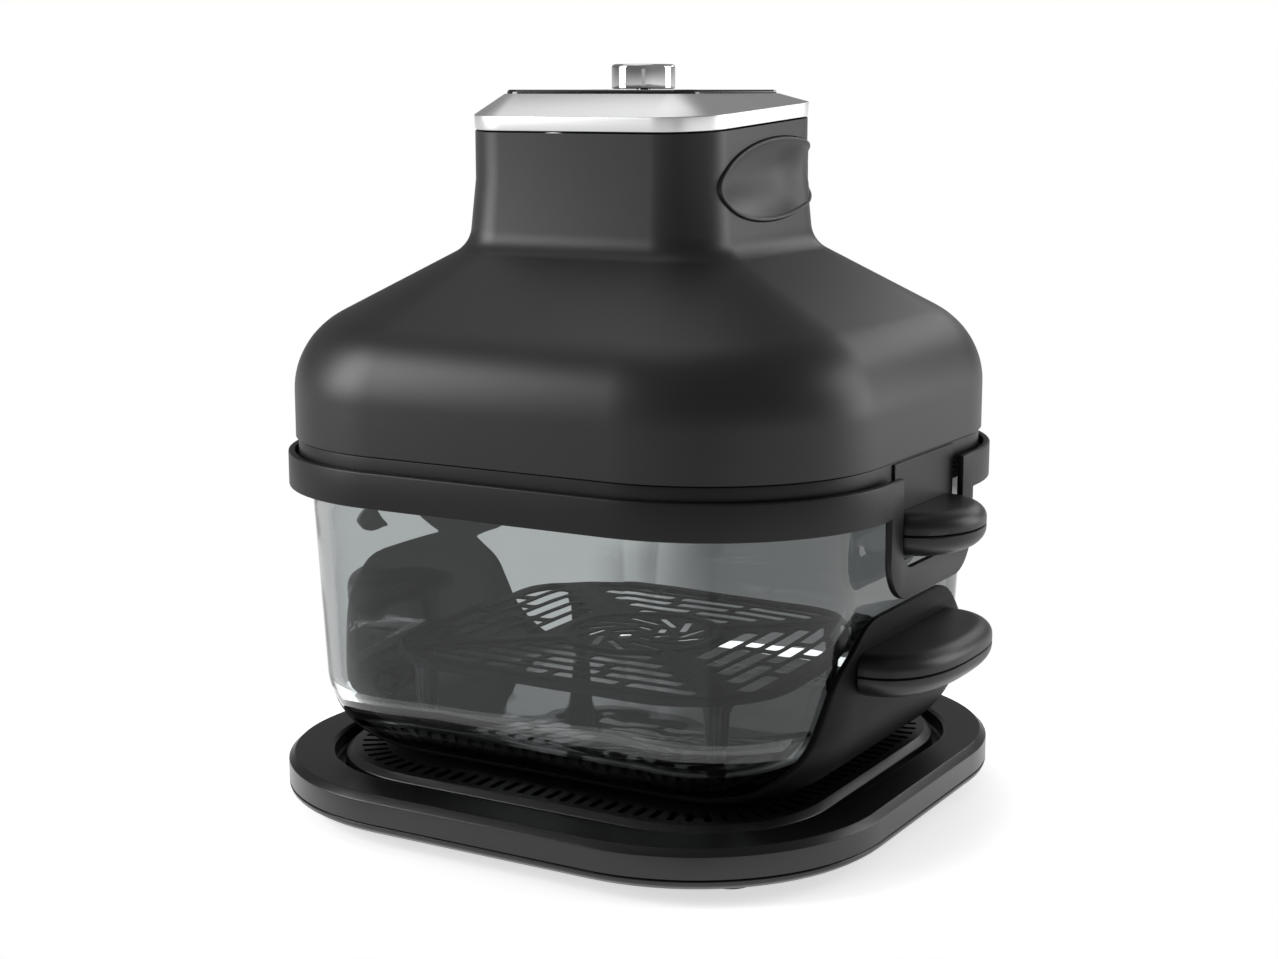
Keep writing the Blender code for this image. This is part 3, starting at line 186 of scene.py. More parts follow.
def makeFloor():
    # pale disc that glows: a painted glow, weaker round the object so the floor reads darker there
    # as painted shade, fading up to the backdrop's white at its edge
    bm = bmesh.new()
    bmesh.ops.create_circle(bm, cap_ends=True, segments=96, radius=studio["floorRadius"])
    mesh = bpy.data.meshes.new("floor")
    bm.to_mesh(mesh)
    bm.free()
    paper, tree, shader, coords = newLook("glowingPaleFloor")
    near, far = studio["floorGlow"]
    away = addNode(tree, "ShaderNodeVectorMath", operation="LENGTH")
    feed(tree, away.inputs[0], coords)
    # painted glow: dim near the object as painted shade, bright white towards the edge
    fade = addNode(tree, "ShaderNodeMapRange", interpolation_type="SMOOTHSTEP",
                   Value=away.outputs["Value"], From_Min=near, From_Max=far,
                   To_Min=studio["floorShade"], To_Max=1.0)
    fill(tree, shader, Base_Color=(0.85, 0.85, 0.85, 1.0), Roughness=0.9,
         Specular_IOR_Level=0.1, Emission_Color=(1.0, 1.0, 1.0, 1.0),
         Emission_Strength=fade.outputs["Result"])
    mesh.materials.append(paper)
    item = bpy.data.objects.new("floor", mesh)
    item.location = (0.0, 0.0, -0.0004)
    scene.collection.objects.link(item)


scene.view_settings.view_transform = "Standard"
makeCamera()
makeRoom()
makeFloor()
for lampName, (place, size, watts, aim) in lamps.items():
    makeLamp(lampName, place, size, watts, aim)
print("camera, floor and lights are set")


# ---- finishes
def finish(name, shade, rough, metal=0.0, spread=0.12, roughSpread=0.05, grain=1800.0,
           bump=0.06, patch=14.0, stretch=(1.0, 1.0, 1.0), coat=0.0, level=0.5):
    # shade varies in soft patches, roughness with it, and a fine grain stands in the surface
    look, tree, shader, coords = newLook(name)
    place = addNode(tree, "ShaderNodeMapping", Vector=coords, Scale=stretch).outputs["Vector"]
    patches = addNode(tree, "ShaderNodeTexNoise", Vector=place, Scale=patch, Detail=4.0)
    ramp = addNode(tree, "ShaderNodeValToRGB", Fac=patches.outputs["Fac"])
    for stop, where, share in zip(ramp.color_ramp.elements, (0.3, 0.7), (1 - spread, 1 + spread)):
        stop.position = where
        stop.color = (*[min(c * share, 1.0) for c in shade], 1.0)
    wear = addNode(tree, "ShaderNodeMapRange", Value=patches.outputs["Fac"],
                   To_Min=max(rough - roughSpread, 0.01), To_Max=rough + roughSpread)
    fine = addNode(tree, "ShaderNodeTexNoise", Vector=place, Scale=grain, Detail=2.0)
    relief = addNode(tree, "ShaderNodeBump", Strength=bump, Distance=0.0002,
                     Height=fine.outputs["Fac"])
    fill(tree, shader, Base_Color=ramp.outputs["Color"], Roughness=wear.outputs["Result"],
         Normal=relief.outputs["Normal"], Metallic=metal, Coat_Weight=coat,
         Coat_Roughness=0.08, Specular_IOR_Level=level)


def glassFinish(name):
    # pressed glass: clear, with slow waves in its surface
    look, tree, shader, coords = newLook(name)
    waves = addNode(tree, "ShaderNodeTexNoise", Vector=coords, Scale=22.0, Detail=1.0)
    relief = addNode(tree, "ShaderNodeBump", Strength=0.25, Distance=0.002,
                     Height=waves.outputs["Fac"])
    tint = addNode(tree, "ShaderNodeValToRGB", Fac=waves.outputs["Fac"])
    tint.color_ramp.elements[0].color = (0.90, 0.94, 0.945, 1.0)
    tint.color_ramp.elements[1].color = (0.95, 0.98, 0.98, 1.0)
    fill(tree, shader, Base_Color=tint.outputs["Color"], Normal=relief.outputs["Normal"],
         Roughness=0.012, IOR=1.48, Transmission_Weight=1.0, Specular_IOR_Level=0.36)


finish("housingSatin", (0.017, 0.017, 0.0185), 0.40, roughSpread=0.03, grain=2600, bump=0.08)
finish("mattBlack", (0.009, 0.009, 0.0098), 0.42, grain=2200, bump=0.08, level=0.36)
# the cradle's finish: the same soft black as the collar and handles, made darker and duller, a
# painted shade on the cradle
finish("cradleShadedBlack", (0.005, 0.005, 0.0053), 0.50, grain=1200, bump=0.015, level=0.10)
finish("handleBlack", (0.010, 0.010, 0.0107), 0.38, grain=1900, bump=0.08)
finish("baseBlack", (0.006, 0.006, 0.0064), 0.30, grain=2400, bump=0.14)
finish("panelGloss", (0.006, 0.006, 0.007), 0.10, roughSpread=0.02, bump=0.01, coat=0.6)
finish("dishGrey", (0.034, 0.034, 0.036), 0.42, roughSpread=0.03, grain=2600, bump=0.08)
finish("trimSilver", (0.97, 0.975, 0.98), 0.34, 1.0, spread=0.04, roughSpread=0.04, grain=900,
       bump=0.05, stretch=(0.08, 1.0, 1.0))
finish("knobChrome", (0.88, 0.88, 0.89), 0.06, 1.0, spread=0.02, roughSpread=0.02, bump=0.005)
finish("crisperCoat", (0.013, 0.0135, 0.015), 0.55, spread=0.2, grain=3200, bump=0.05, level=0.07)
finish("footRubber", (0.014, 0.014, 0.015), 0.68, grain=1500, bump=0.2)
finish("clipGrey", (0.030, 0.031, 0.034), 0.45, grain=1500, bump=0.1)
finish("sealRubber", (0.16, 0.165, 0.17), 0.5, grain=1500, bump=0.08)
finish("sheetSteel", (0.58, 0.58, 0.57), 0.34, 1.0, spread=0.08, grain=700, bump=0.08,
       stretch=(1.0, 0.1, 1.0))
finish("elementSteel", (0.17, 0.16, 0.15), 0.45, 1.0, spread=0.3, patch=60, bump=0.15)
finish("boardGreen", (0.02, 0.11, 0.05), 0.42, spread=0.25, patch=180, bump=0.05)
finish("tickGrey", (0.62, 0.63, 0.64), 0.45, bump=0.02)
glassFinish("bowlGlass")
print("finishes are mixed")


# ---- shape helpers
def span(node):
    low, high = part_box(node)
    return Vector(low), Vector(high)


def planRing(plan, inset, height, lean=0.0, steps=20):
    # rounded rectangle with its half sizes and corner bend, moved in by inset
    halfX, halfY, bend = plan[0] - inset, plan[1] - inset, max(plan[2] - inset, 0.002)
    ring = []
    for quarter, (sideX, sideY) in enumerate(((1, 1), (-1, 1), (-1, -1), (1, -1))):
        for step in range(steps + 1):
            angle = math.radians(90) * (quarter + step / steps)
            x = sideX * (halfX - bend) + bend * math.cos(angle)
            y = sideY * (halfY - bend) + bend * math.sin(angle)
            ring.append(Vector((x, y, height + lean * y)))
    return ring


def circle(radius, height, steps=48, centre=(0.0, 0.0)):
    angles = [2 * math.pi * k / steps for k in range(steps)]
    return [Vector((centre[0] + radius * math.cos(a), centre[1] + radius * math.sin(a), height))
            for a in angles]


def skin(rings, firstCap=False, lastCap=False, closed=False, bm=None):
    bm = bm or bmesh.new()
    rows = [[bm.verts.new(point) for point in ring] for ring in rings]
    pairs = list(zip(rows, rows[1:]))
    if closed:
        pairs.append((rows[-1], rows[0]))
    for lower, upper in pairs:
        for index in range(len(lower)):
            after = (index + 1) % len(lower)
            bm.faces.new((lower[index], lower[after], upper[after], upper[index]))
    if firstCap:
        bm.faces.new(reversed(rows[0]))
    if lastCap:
        bm.faces.new(rows[-1])
    return bm


def roundCorners(corners, steps=5, closed=False):
    # (u, v, radius) corners, each turned into an arc
    flat = [Vector((u, v)) for u, v, radius in corners]
    outline = []
    for index, (u, v, radius) in enumerate(corners):
        if not radius or not (closed or 0 < index < len(flat) - 1):
            outline.append(flat[index])
            continue
        toBefore = (flat[index - 1] - flat[index]).normalized()
        toAfter = (flat[(index + 1) % len(flat)] - flat[index]).normalized()
        half = toBefore.angle(toAfter) / 2
        centre = flat[index] + (toBefore + toAfter).normalized() * radius / math.sin(half)
        start = flat[index] + toBefore * radius / math.tan(half) - centre
        end = flat[index] + toAfter * radius / math.tan(half) - centre
        sweep = start.angle(end)
        for step in range(steps + 1):
            share = step / steps
            a = math.sin((1 - share) * sweep) / math.sin(sweep)
            b = math.sin(share * sweep) / math.sin(sweep)
            outline.append(centre + start * a + end * b)
    return outline


def prism(outline, start, end, edge=0.0004):
    # plate from x start to x end of a (y, z) outline, its edges eased
    count = len(outline)
    normals = []
    for index, point in enumerate(outline):
        along = outline[(index + 1) % count] - outline[index - 1]
        normals.append(Vector((along.y, -along.x)).normalized())
    area = sum(outline[i - 1].x * outline[i].y - outline[i].x * outline[i - 1].y
               for i in range(count))
    inward = -1.0 if area > 0 else 1.0
    step = math.copysign(edge, end - start)
    rings = []
    for x, ease in ((start, edge), (start + step, 0.0), (end - step, 0.0), (end, edge)):
        rings.append([Vector((x, p.x + n.x * ease * inward, p.y + n.y * ease * inward))
                      for p, n in zip(outline, normals)])
    return skin(rings, True, True)


def toObject(name, bm, look=None):
    bmesh.ops.remove_doubles(bm, verts=bm.verts, dist=0.000001)
    bmesh.ops.recalc_face_normals(bm, faces=bm.faces)
    mesh = bpy.data.meshes.new(name)
    bm.to_mesh(mesh)
    bm.free()
    if look:
        mesh.materials.append(finishes[look])
    item = bpy.data.objects.new(name, mesh)
    scene.collection.objects.link(item)
    return item


def smooth(item, angle=35.0):
    item.data.shade_smooth()
    item.data.set_sharp_from_angle(angle=math.radians(angle))
    return item


def cut(item, other, how="DIFFERENCE"):
    step = item.modifiers.new("cut", "BOOLEAN")
    step.operation = how
    step.object = other
    step.solver = "EXACT"
    other["cutter"] = 1


def settle(item, look=None):
    # the modifiers' result becomes the mesh
    graph = bpy.context.evaluated_depsgraph_get()
    graph.update()
    mesh = bpy.data.meshes.new_from_object(item.evaluated_get(graph))
    others = [m.object for m in item.modifiers if m.type == "BOOLEAN"]
    item.modifiers.clear()
    item.data = mesh
    if look:
        mesh.materials.clear()
        mesh.materials.append(finishes[look])
        mesh.polygons.foreach_set("material_index", [0] * len(mesh.polygons))
    for other in others:
        if other and other.name in bpy.data.objects:
            bpy.data.objects.remove(other)
    return item


def ease(item, width, segments=2, angle=40.0):
    # a small round on every hard edge
    bm = bmesh.new()
    bm.from_mesh(item.data)
    bmesh.ops.remove_doubles(bm, verts=bm.verts, dist=0.00008)
    bmesh.ops.dissolve_degenerate(bm, edges=bm.edges, dist=0.00008)
    bm.to_mesh(item.data)
    bm.free()
    step = item.modifiers.new("ease", "BEVEL")
    step.width = width
    step.segments = segments
    step.limit_method = "ANGLE"
    step.angle_limit = math.radians(angle)
    step.use_clamp_overlap = False
    step.harden_normals = False
    return settle(item)


def done(item, body, slot, *stands):
    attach(item, body)
    if stands:
        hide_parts(*stands)
    return item


# ---- geometry node trees
class Tree:
    def __init__(self, name, inputs):
        self.tree = bpy.data.node_groups.new(name, "GeometryNodeTree")
        face = self.tree.interface
        face.new_socket("Geometry", in_out="OUTPUT", socket_type="NodeSocketGeometry")
        face.new_socket("Geometry", in_out="INPUT", socket_type="NodeSocketGeometry")
        self.ids = {}
        for label, kind, value in inputs:
            socket = face.new_socket(label, in_out="INPUT", socket_type=kind)
            if value is not None:
                socket.default_value = value
            self.ids[label] = socket.identifier
        self.given = self.tree.nodes.new("NodeGroupInput")
        self.result = self.tree.nodes.new("NodeGroupOutput")

    def add(self, kind, **values):
        return addNode(self.tree, kind, **values)

    def get(self, label):
        return self.given.outputs[label]

    def close(self, shape):
        real = self.add("GeometryNodeRealizeInstances", Geometry=shape)
        painted = self.add("GeometryNodeSetMaterial", Geometry=real.outputs[0],
                           Material=self.get("Material"))
        self.tree.links.new(painted.outputs[0], self.result.inputs[0])
        return self


def slotPrism(tree):
    # stadium-shaped block, as long, wide and deep as the tree's inputs say
    frameCurve = tree.add("GeometryNodeCurvePrimitiveQuadrilateral", Width=tree.get("Length"),
                          Height=tree.get("Width"))
    rounded = tree.add("GeometryNodeFilletCurve", Curve=frameCurve.outputs[0],
                       Radius=tree.get("Corner"), Count=3, mode="POLY")
    sheet = tree.add("GeometryNodeFillCurve", Curve=rounded.outputs[0], mode="NGONS")
    raised = tree.add("GeometryNodeExtrudeMesh", Mesh=sheet.outputs[0],
                      Offset_Scale=tree.get("Depth"))
    raised.inputs["Individual"].default_value = False
    under = tree.add("GeometryNodeFlipFaces", Mesh=sheet.outputs[0])
    both = tree.add("GeometryNodeJoinGeometry")
    tree.tree.links.new(raised.outputs[0], both.inputs[0])
    tree.tree.links.new(under.outputs[0], both.inputs[0])
    whole = tree.add("GeometryNodeMergeByDistance", Geometry=both.outputs[0], Distance=0.00001)
    drop = tree.add("ShaderNodeMath", Value=tree.get("Depth"), operation="MULTIPLY")
    drop.inputs[1].default_value = -0.5
    shift = tree.add("ShaderNodeCombineXYZ", Z=drop.outputs[0])
    placed = tree.add("GeometryNodeTransform", Geometry=whole.outputs[0],
                      Translation=shift.outputs[0])
    return placed.outputs[0]


def atPoints(tree, shape):
    # one copy at each point, turned and stretched by the point's own values
    turn = tree.add("GeometryNodeInputNamedAttribute", Name="turn", data_type="FLOAT_VECTOR")
    stretch = tree.add("GeometryNodeInputNamedAttribute", Name="stretch",
                       data_type="FLOAT_VECTOR")
    facing = tree.add("FunctionNodeEulerToRotation", Euler=turn.outputs[0])
    copies = tree.add("GeometryNodeInstanceOnPoints", Points=tree.get("Geometry"),
                      Instance=shape, Rotation=facing.outputs[0], Scale=stretch.outputs[0])
    return copies.outputs[0]


sizeInputs = [("Length", "NodeSocketFloat", 0.012), ("Width", "NodeSocketFloat", 0.003),
              ("Depth", "NodeSocketFloat", 0.008), ("Corner", "NodeSocketFloat", 0.001),
              ("Material", "NodeSocketMaterial", None)]
slotTree = Tree("slotsAtPoints", sizeInputs)
slotTree.close(atPoints(slotTree, slotPrism(slotTree)))

ringTree = Tree("slotRing", sizeInputs + [
    ("Outline Width", "NodeSocketFloat", 0.2), ("Outline Depth", "NodeSocketFloat", 0.2),
    ("Outline Corner", "NodeSocketFloat", 0.05), ("Count", "NodeSocketInt", 80)])
around = ringTree.add("GeometryNodeCurvePrimitiveQuadrilateral",
                      Width=ringTree.get("Outline Width"), Height=ringTree.get("Outline Depth"))
bent = ringTree.add("GeometryNodeFilletCurve", Curve=around.outputs[0],
                    Radius=ringTree.get("Outline Corner"), Count=24, mode="POLY")
spaced = ringTree.add("GeometryNodeResampleCurve", Curve=bent.outputs[0],
                      Count=ringTree.get("Count"))
tangent = ringTree.add("GeometryNodeInputTangent")
square = ringTree.add("FunctionNodeAlignRotationToVector", Vector=tangent.outputs[0])
square.axis = "Y"
square.pivot_axis = "Z"
standing = ringTree.add("GeometryNodeInstanceOnPoints", Points=spaced.outputs[0],
                        Instance=slotPrism(ringTree), Rotation=square.outputs[0])
ringTree.close(standing.outputs[0])

screwTree = Tree("panScrews", [
    ("Head", "NodeSocketFloat", 0.0029), ("Head Height", "NodeSocketFloat", 0.0017),
    ("Shank", "NodeSocketFloat", 0.00145), ("Length", "NodeSocketFloat", 0.010),
    ("Material", "NodeSocketMaterial", None)])
headDisc = screwTree.add("GeometryNodeMeshCone", Radius_Top=0.0022,
                         Radius_Bottom=screwTree.get("Head"), Depth=screwTree.get("Head Height"),
                         Vertices=24)
crossA = screwTree.add("GeometryNodeMeshCube", Size=(0.0030, 0.0007, 0.0012))
crossB = screwTree.add("GeometryNodeMeshCube", Size=(0.0007, 0.0030, 0.0012))
lift = screwTree.add("ShaderNodeCombineXYZ", Z=screwTree.get("Head Height"))
cross = screwTree.add("GeometryNodeJoinGeometry")
screwTree.tree.links.new(crossA.outputs[0], cross.inputs[0])
screwTree.tree.links.new(crossB.outputs[0], cross.inputs[0])
crossUp = screwTree.add("GeometryNodeTransform", Geometry=cross.outputs[0],
                        Translation=lift.outputs[0])
recess = screwTree.add("GeometryNodeMeshBoolean", Mesh_1=headDisc.outputs[0],
                       operation="DIFFERENCE")
screwTree.tree.links.new(crossUp.outputs[0], recess.inputs["Mesh 2"])
shankRod = screwTree.add("GeometryNodeMeshCylinder", Radius=screwTree.get("Shank"),
                         Depth=screwTree.get("Length"), Vertices=16)
sink = screwTree.add("ShaderNodeMath", Value=screwTree.get("Length"), operation="MULTIPLY")
sink.inputs[1].default_value = -0.5
sinkShift = screwTree.add("ShaderNodeCombineXYZ", Z=sink.outputs[0])
shankDown = screwTree.add("GeometryNodeTransform", Geometry=shankRod.outputs[0],
                          Translation=sinkShift.outputs[0])
screwShape = screwTree.add("GeometryNodeJoinGeometry")
screwTree.tree.links.new(recess.outputs[0], screwShape.inputs[0])
screwTree.tree.links.new(shankDown.outputs[0], screwShape.inputs[0])
screwTree.close(atPoints(screwTree, screwShape.outputs[0]))


def grow(name, tree, places, look, **values):
    # places: (point, turn, stretch) for each copy
    mesh = bpy.data.meshes.new(name)
    mesh.from_pydata([p for p, t, s in places], [], [])
    for label, column in (("turn", 1), ("stretch", 2)):
        data = mesh.attributes.new(label, "FLOAT_VECTOR", "POINT")
        data.data.foreach_set("vector", [v for row in places for v in row[column]])
    item = bpy.data.objects.new(name, mesh)
    scene.collection.objects.link(item)
    step = item.modifiers.new("nodes", "NODES")
    step.node_group = tree.tree
    for label, value in values.items():
        step[tree.ids[label.replace("_", " ")]] = value
    step[tree.ids["Material"]] = finishes[look]
    return settle(item)


plain = (1.0, 1.0, 1.0)
print("node trees are built")


# ---- base plate
baseSizes = {"bend": 0.092, "rimIn": (0.1285, 0.1220, 0.072), "disc": (0.1224, 0.1155, 0.063),
             "chamfer": 0.0028, "groove": 0.0085, "slotStart": 0.0075, "slotLength": 0.0120,
             "slotWidth": 0.0033, "slotPitch": 0.0074, "wall": 0.0025}


def makeBaseTray():
    low, high = span("base_tray")
    s = baseSizes
    top, floor = high.z, high.z - s["groove"]
    outer = (high.x, high.y, s["bend"])
    disc = roundCorners([(0.012, top, 0), (0.0034, top, 0.0006), (0.0, top - 0.0026, 0.0008),
                         (0.0, floor + 0.0008, 0.0), (-0.0006, floor, 0)])
    bank = roundCorners([(0.0010, floor, 0), (0.0, floor + 0.001, 0.0),
                         (0.0, top - 0.0012, 0.0008), (-0.0012, top, 0.0008), (-0.004, top, 0.0)])
    edge = roundCorners([(0.0080, top, 0), (s["chamfer"] + 0.0002, top, 0.0007),
                         (0.0, top - s["chamfer"], 0.0007), (0.0, low.z + 0.0004, 0.0),
                         (0.0005, low.z, 0), (s["wall"], low.z, 0),
                         (s["wall"], top - 0.005, 0.0), (s["wall"] * 2, top - s["wall"], 0)])
    rings = [planRing(s["disc"], i, z) for i, z in disc]
    rings += [planRing(s["rimIn"], i, z) for i, z in bank]
    rings += [planRing(outer, i, z) for i, z in edge]
    rings += [planRing(s["rimIn"], -s["wall"], top - s["wall"] - 0.001),
              planRing(s["rimIn"], -s["wall"], floor - s["wall"]),
              planRing(s["disc"], s["wall"], floor - s["wall"]),
              planRing(s["disc"], s["wall"], top - s["wall"] - 0.001),
              planRing(s["disc"], s["wall"] + 0.003, top - s["wall"])]
    tray = toObject("baseTray", skin(rings, True, True), "baseBlack")
    inset = s["slotStart"] + s["slotLength"] / 2
    wide, deep, bend = [v - inset for v in s["disc"]]
    total = 4 * (wide + deep - 2 * bend) + 2 * math.pi * bend
    ring = grow("slotCutter", ringTree, [((0, 0, 0), (0, 0, 0), plain)], "baseBlack",
                Length=s["slotLength"], Width=s["slotWidth"], Depth=0.008,
                Corner=s["slotWidth"] * 0.30, Outline_Width=2 * wide, Outline_Depth=2 * deep,
                Outline_Corner=bend, Count=int(round(total / s["slotPitch"])))
    ring.data.transform(Matrix.Translation((0, 0, top - 0.001)))
    cut(tray, ring)
    smooth(settle(tray, "baseBlack"), 30)
    done(tray, "base", "satin_black", "base_tray")


def makeBasePan():
    low, high = span("base_bottom")
    plan = (high.x, high.y, baseSizes["bend"])
    outline = roundCorners([(0.030, low.z, 0), (0.0045, low.z, 0.003),
                            (0.0, low.z + 0.0030, 0.003), (0.0, high.z - 0.0004, 0.0),
                            (0.0004, high.z, 0),
                            (0.0025, high.z, 0), (0.0025, low.z + 0.0030, 0)])
    pan = toObject("basePan", skin([planRing(plan, i, z) for i, z in outline], True, True),
                   "baseBlack")
    smooth(pan, 30)
    done(pan, "base", "soft_black", "base_bottom")


def makeFeet():
    names = ["back_right_foot", "front_right_foot", "back_left_foot", "front_left_foot"]
    bm = bmesh.new()
    for name in names:
        low, high = span(name)
        centre = (low + high) / 2
        radius = (high.x - low.x) / 2
        outline = roundCorners([(0.0, high.z, 0), (radius - 0.001, high.z, 0.0),
                                (radius, high.z - 0.0008, 0),
                                (radius - 0.0006, low.z + 0.001, 0.0008),
                                (radius - 0.003, low.z, 0.0008), (radius - 0.004, low.z, 0),
                                (radius - 0.0045, low.z + 0.0006, 0), (0.0, low.z + 0.0006, 0)])
        rings = [circle(r, z, 48, centre) for r, z in outline if r > 0]
        skin(rings, True, True, bm=bm)
    feet = toObject("baseFeet", bm, "footRubber")
    done(smooth(feet, 40), "base", "silicone", *names)


def makeScrews(name, names, body):
    # heads face down in their holes
    places = []
    lengths = []
    for node in names:
        low, high = span(node)
        centre = (low + high) / 2
        places.append(((centre.x, centre.y, low.z + 0.0017), (math.pi, 0, 0), plain))
        lengths.append(high.z - low.z - 0.0020)
    screws = grow(name, screwTree, places, "sheetSteel", Length=lengths[0])
    smooth(screws, 30)
    done(screws, body, "sheet_steel", *names)


makeBaseTray()
makeBasePan()
makeFeet()
makeScrews("baseScrews", [f"{c}_base_screw" for c in
                          ("back_right", "front_right", "back_left", "front_left")], "base")
print("base plate is made")


# ---- glass bowl and cradle
bowlSizes = {"bend": 0.0744, "draft": 0.0556, "footWidth": 0.0382, "footRise": 0.0351,
             "wall": 0.0060, "floor": 0.0070, "gap": 0.0003, "cradleSide": 0.0030}


def bowlOutline(offset, low, rim, steps=16):
    s = bowlSizes
    turn = low + s["footRise"]
    drafted = s["draft"] * (rim - turn)
    points = [(-offset + drafted * k / 6, rim + (turn - rim) * k / 6) for k in range(7)]
    for step in range(1, steps + 1):
        angle = math.radians(90) * step / steps
        points.append((drafted + s["footWidth"] * (1 - math.cos(angle)) - offset * math.cos(angle),
                       turn - (s["footRise"] + offset) * math.sin(angle)))
    return points


def makeBowl():
    low, high = span("glass_bowl")
    s = bowlSizes
    plan = (high.x, high.y, s["bend"])
    outer = bowlOutline(0.0, low.z, high.z)
    inner = bowlOutline(-s["wall"], low.z, high.z)
    floor = low.z + s["floor"]
    lift = floor - inner[-1][1]
    base = low.z + s["footRise"]
    raised = [(i, z + lift * max(0.0, (base - z) / (base - inner[-1][1]))) for i, z in inner]
    wall = s["wall"]
    rim = [(wall * (0.5 + 0.5 * math.cos(a)), high.z - wall * 0.35 * (1 - math.sin(a)))
           for a in [math.pi * k / 8 for k in range(9)]]
    rings = [planRing(plan, raised[-1][0] + 0.004, floor, steps=28)]
    rings += [planRing(plan, i, z, steps=28) for i, z in reversed(raised[1:])]
    rings += [planRing(plan, i, z, steps=28) for i, z in rim]
    rings += [planRing(plan, i, z, steps=28) for i, z in outer[1:]]
    rings.append(planRing(plan, outer[-1][0] + 0.004, low.z, steps=28))
    bowl = toObject("glassBowl", skin(rings, True, True), "bowlGlass")
    done(smooth(bowl, 60), "bowl", "clear_glass", "glass_bowl")


def makeCradle():
    low, high = span("bowl_cradle")
    glassLow, glassHigh = span("glass_bowl")
    s = bowlSizes
    plan = (glassHigh.x, glassHigh.y, s["bend"])
    split = span("right_bowl_handle_top")[0].z
    inner = bowlOutline(s["gap"], glassLow.z, glassHigh.z)
    outer = bowlOutline(s["gap"] + s["cradleSide"], glassLow.z, glassHigh.z)
    rings = [planRing(plan, i, z) for i, z in reversed(inner)]
    rings += [planRing(plan, i, max(z, low.z)) for i, z in outer]
    shell = toObject("bowlCradle", skin(rings, True, True), "cradleShadedBlack")
    hip, waist = low.z + 0.0174, split + 0.0010
    corners = [(-0.0880, low.z - 0.004, 0), (-0.0860, hip, 0.040), (-0.0690, waist, 0.030),
               (-0.0430, high.z, 0.030), (0.0430, high.z, 0.030), (0.0690, waist, 0.030),
               (0.0860, hip, 0.040), (0.0880, low.z - 0.004, 0)]
    bell = toObject("bell", prism(roundCorners(corners, 12), -high.x - 0.02, high.x + 0.02))
    cut(shell, bell, "INTERSECT")
    settle(shell, "cradleShadedBlack")
    ease(shell, 0.0009, 3, 50)
    done(smooth(shell, 35), "bowl", "soft_black", "bowl_cradle")


makeBowl()
makeCradle()
print("bowl and cradle are made")


# ---- handle pads
padSizes = {"bowlPower": 2.5, "headPower": 2.0, "crownIn": 0.0085, "keelIn": 0.0125}


def padRing(root, reach, spread, inset, height, power, side, steps=32):
    ring = []
    for step in range(steps + 1):
        angle = math.pi * (step / steps - 0.5)
        away = abs(math.cos(angle)) ** (2 / power)
        along = math.copysign(abs(math.sin(angle)) ** (2 / power), math.sin(angle))
        ring.append(Vector((side * (root + (reach - inset) * away), (spread - inset) * along,
                            height)))
    return ring


def makePad(node, body, power, upper):
    low, high = span(node)
    side = 1 if low.x > 0 else -1
    root = min(abs(low.x), abs(high.x))
    reach = max(abs(low.x), abs(high.x)) - root
    spread = high.y
    deep = high.z - low.z
    if upper:
        start, way, straight, inset, end = low.z, 1, 0.3, padSizes["crownIn"], high.z
    else:
        start, way, straight, inset, end = high.z, -1, 0.12, padSizes["keelIn"], low.z
    levels = [(0.0006, start), (0.0, start + way * 0.0005), (0.0, start + way * deep * straight)]
    for step in range(1, 11):
        angle = math.radians(90) * step / 10
        rise = straight + (1 - straight) * math.sin(angle)
        levels.append((inset * (1 - math.cos(angle)), start + way * deep * rise))
    levels.append((inset + 0.002, end))
    rings = [padRing(root, reach, spread, i, z, power, side) for i, z in levels]
    name = "".join(w if k == 0 else w.capitalize() for k, w in enumerate(node.split("_")))
    pad = toObject(name, skin(rings, True, True), "handleBlack")
    done(smooth(pad, 50), body, "soft_black", node)


for sideWord in ("right", "left"):
    makePad(f"{sideWord}_bowl_handle_top", "bowl", padSizes["bowlPower"], True)
    makePad(f"{sideWord}_bowl_handle_base", "bowl", padSizes["bowlPower"], False)
    makePad(f"{sideWord}_head_handle_top", "head", padSizes["headPower"], True)
    makePad(f"{sideWord}_head_handle_base", "head", padSizes["headPower"], False)
makeScrews("bowlHandleScrews", [f"{w}_bowl_handle_screw_{k}" for w in ("right", "left")
                                for k in (1, 2)], "bowl")
makeScrews("headHandleScrews", [f"{w}_head_handle_screw_1" for w in ("right", "left")], "head")
print("handles are made")


# ---- crisper plate
crisperSizes = {"bend": 0.050, "sheet": 0.0010, "lip": 0.0045, "slot": 0.0084, "rowsIn": 0.0500,
                "firstRow": 0.0120, "cell": 0.0330, "web": 0.0036, "armHalf": 0.0055,
                "armHigh": 0.0010,
                "ring": 0.0365, "ringHalf": 0.0030}


def crisperSlotPlaces(halfX, halfY, top):
    # rows of slots along each edge, kept off the arms, then a swirl in the middle
    s = crisperSizes
    rowPitch = (halfY - s["rowsIn"]) / 4
    places = []
    for facing in range(4):
        reach, spread = (halfY, halfX) if facing % 2 == 0 else (halfX, halfY)
        quarter = math.radians(90) * facing
        for row in range(5):
            out = reach - s["firstRow"] - row * rowPitch
            width = out / reach * spread - s["armHalf"] - 0.0080
            columns = max(1, int(width * 2 / s["cell"]))
            length = width * 2 / columns - s["web"]
            for column in range(columns):
                across = (column - (columns - 1) / 2) * (length + s["web"])
                x, y = across, out - 0.02 * across * across / reach
                tip = -0.04 * across / reach
                places.append(((x * math.cos(quarter) - y * math.sin(quarter),
                                x * math.sin(quarter) + y * math.cos(quarter), top),
                               (0, 0, quarter + tip), (length / s["cell"], 1.0, 1.0)))
    for radius, count, lean, stretch in ((0.0235, 12, 0.85, 0.62), (0.0100, 6, 0.85, 0.30)):
        for index in range(count):
            angle = 2 * math.pi * index / count
            places.append(((radius * math.cos(angle), radius * math.sin(angle), top),
                           (0, 0, angle + lean), (stretch, 0.48, 1.0)))
    return places


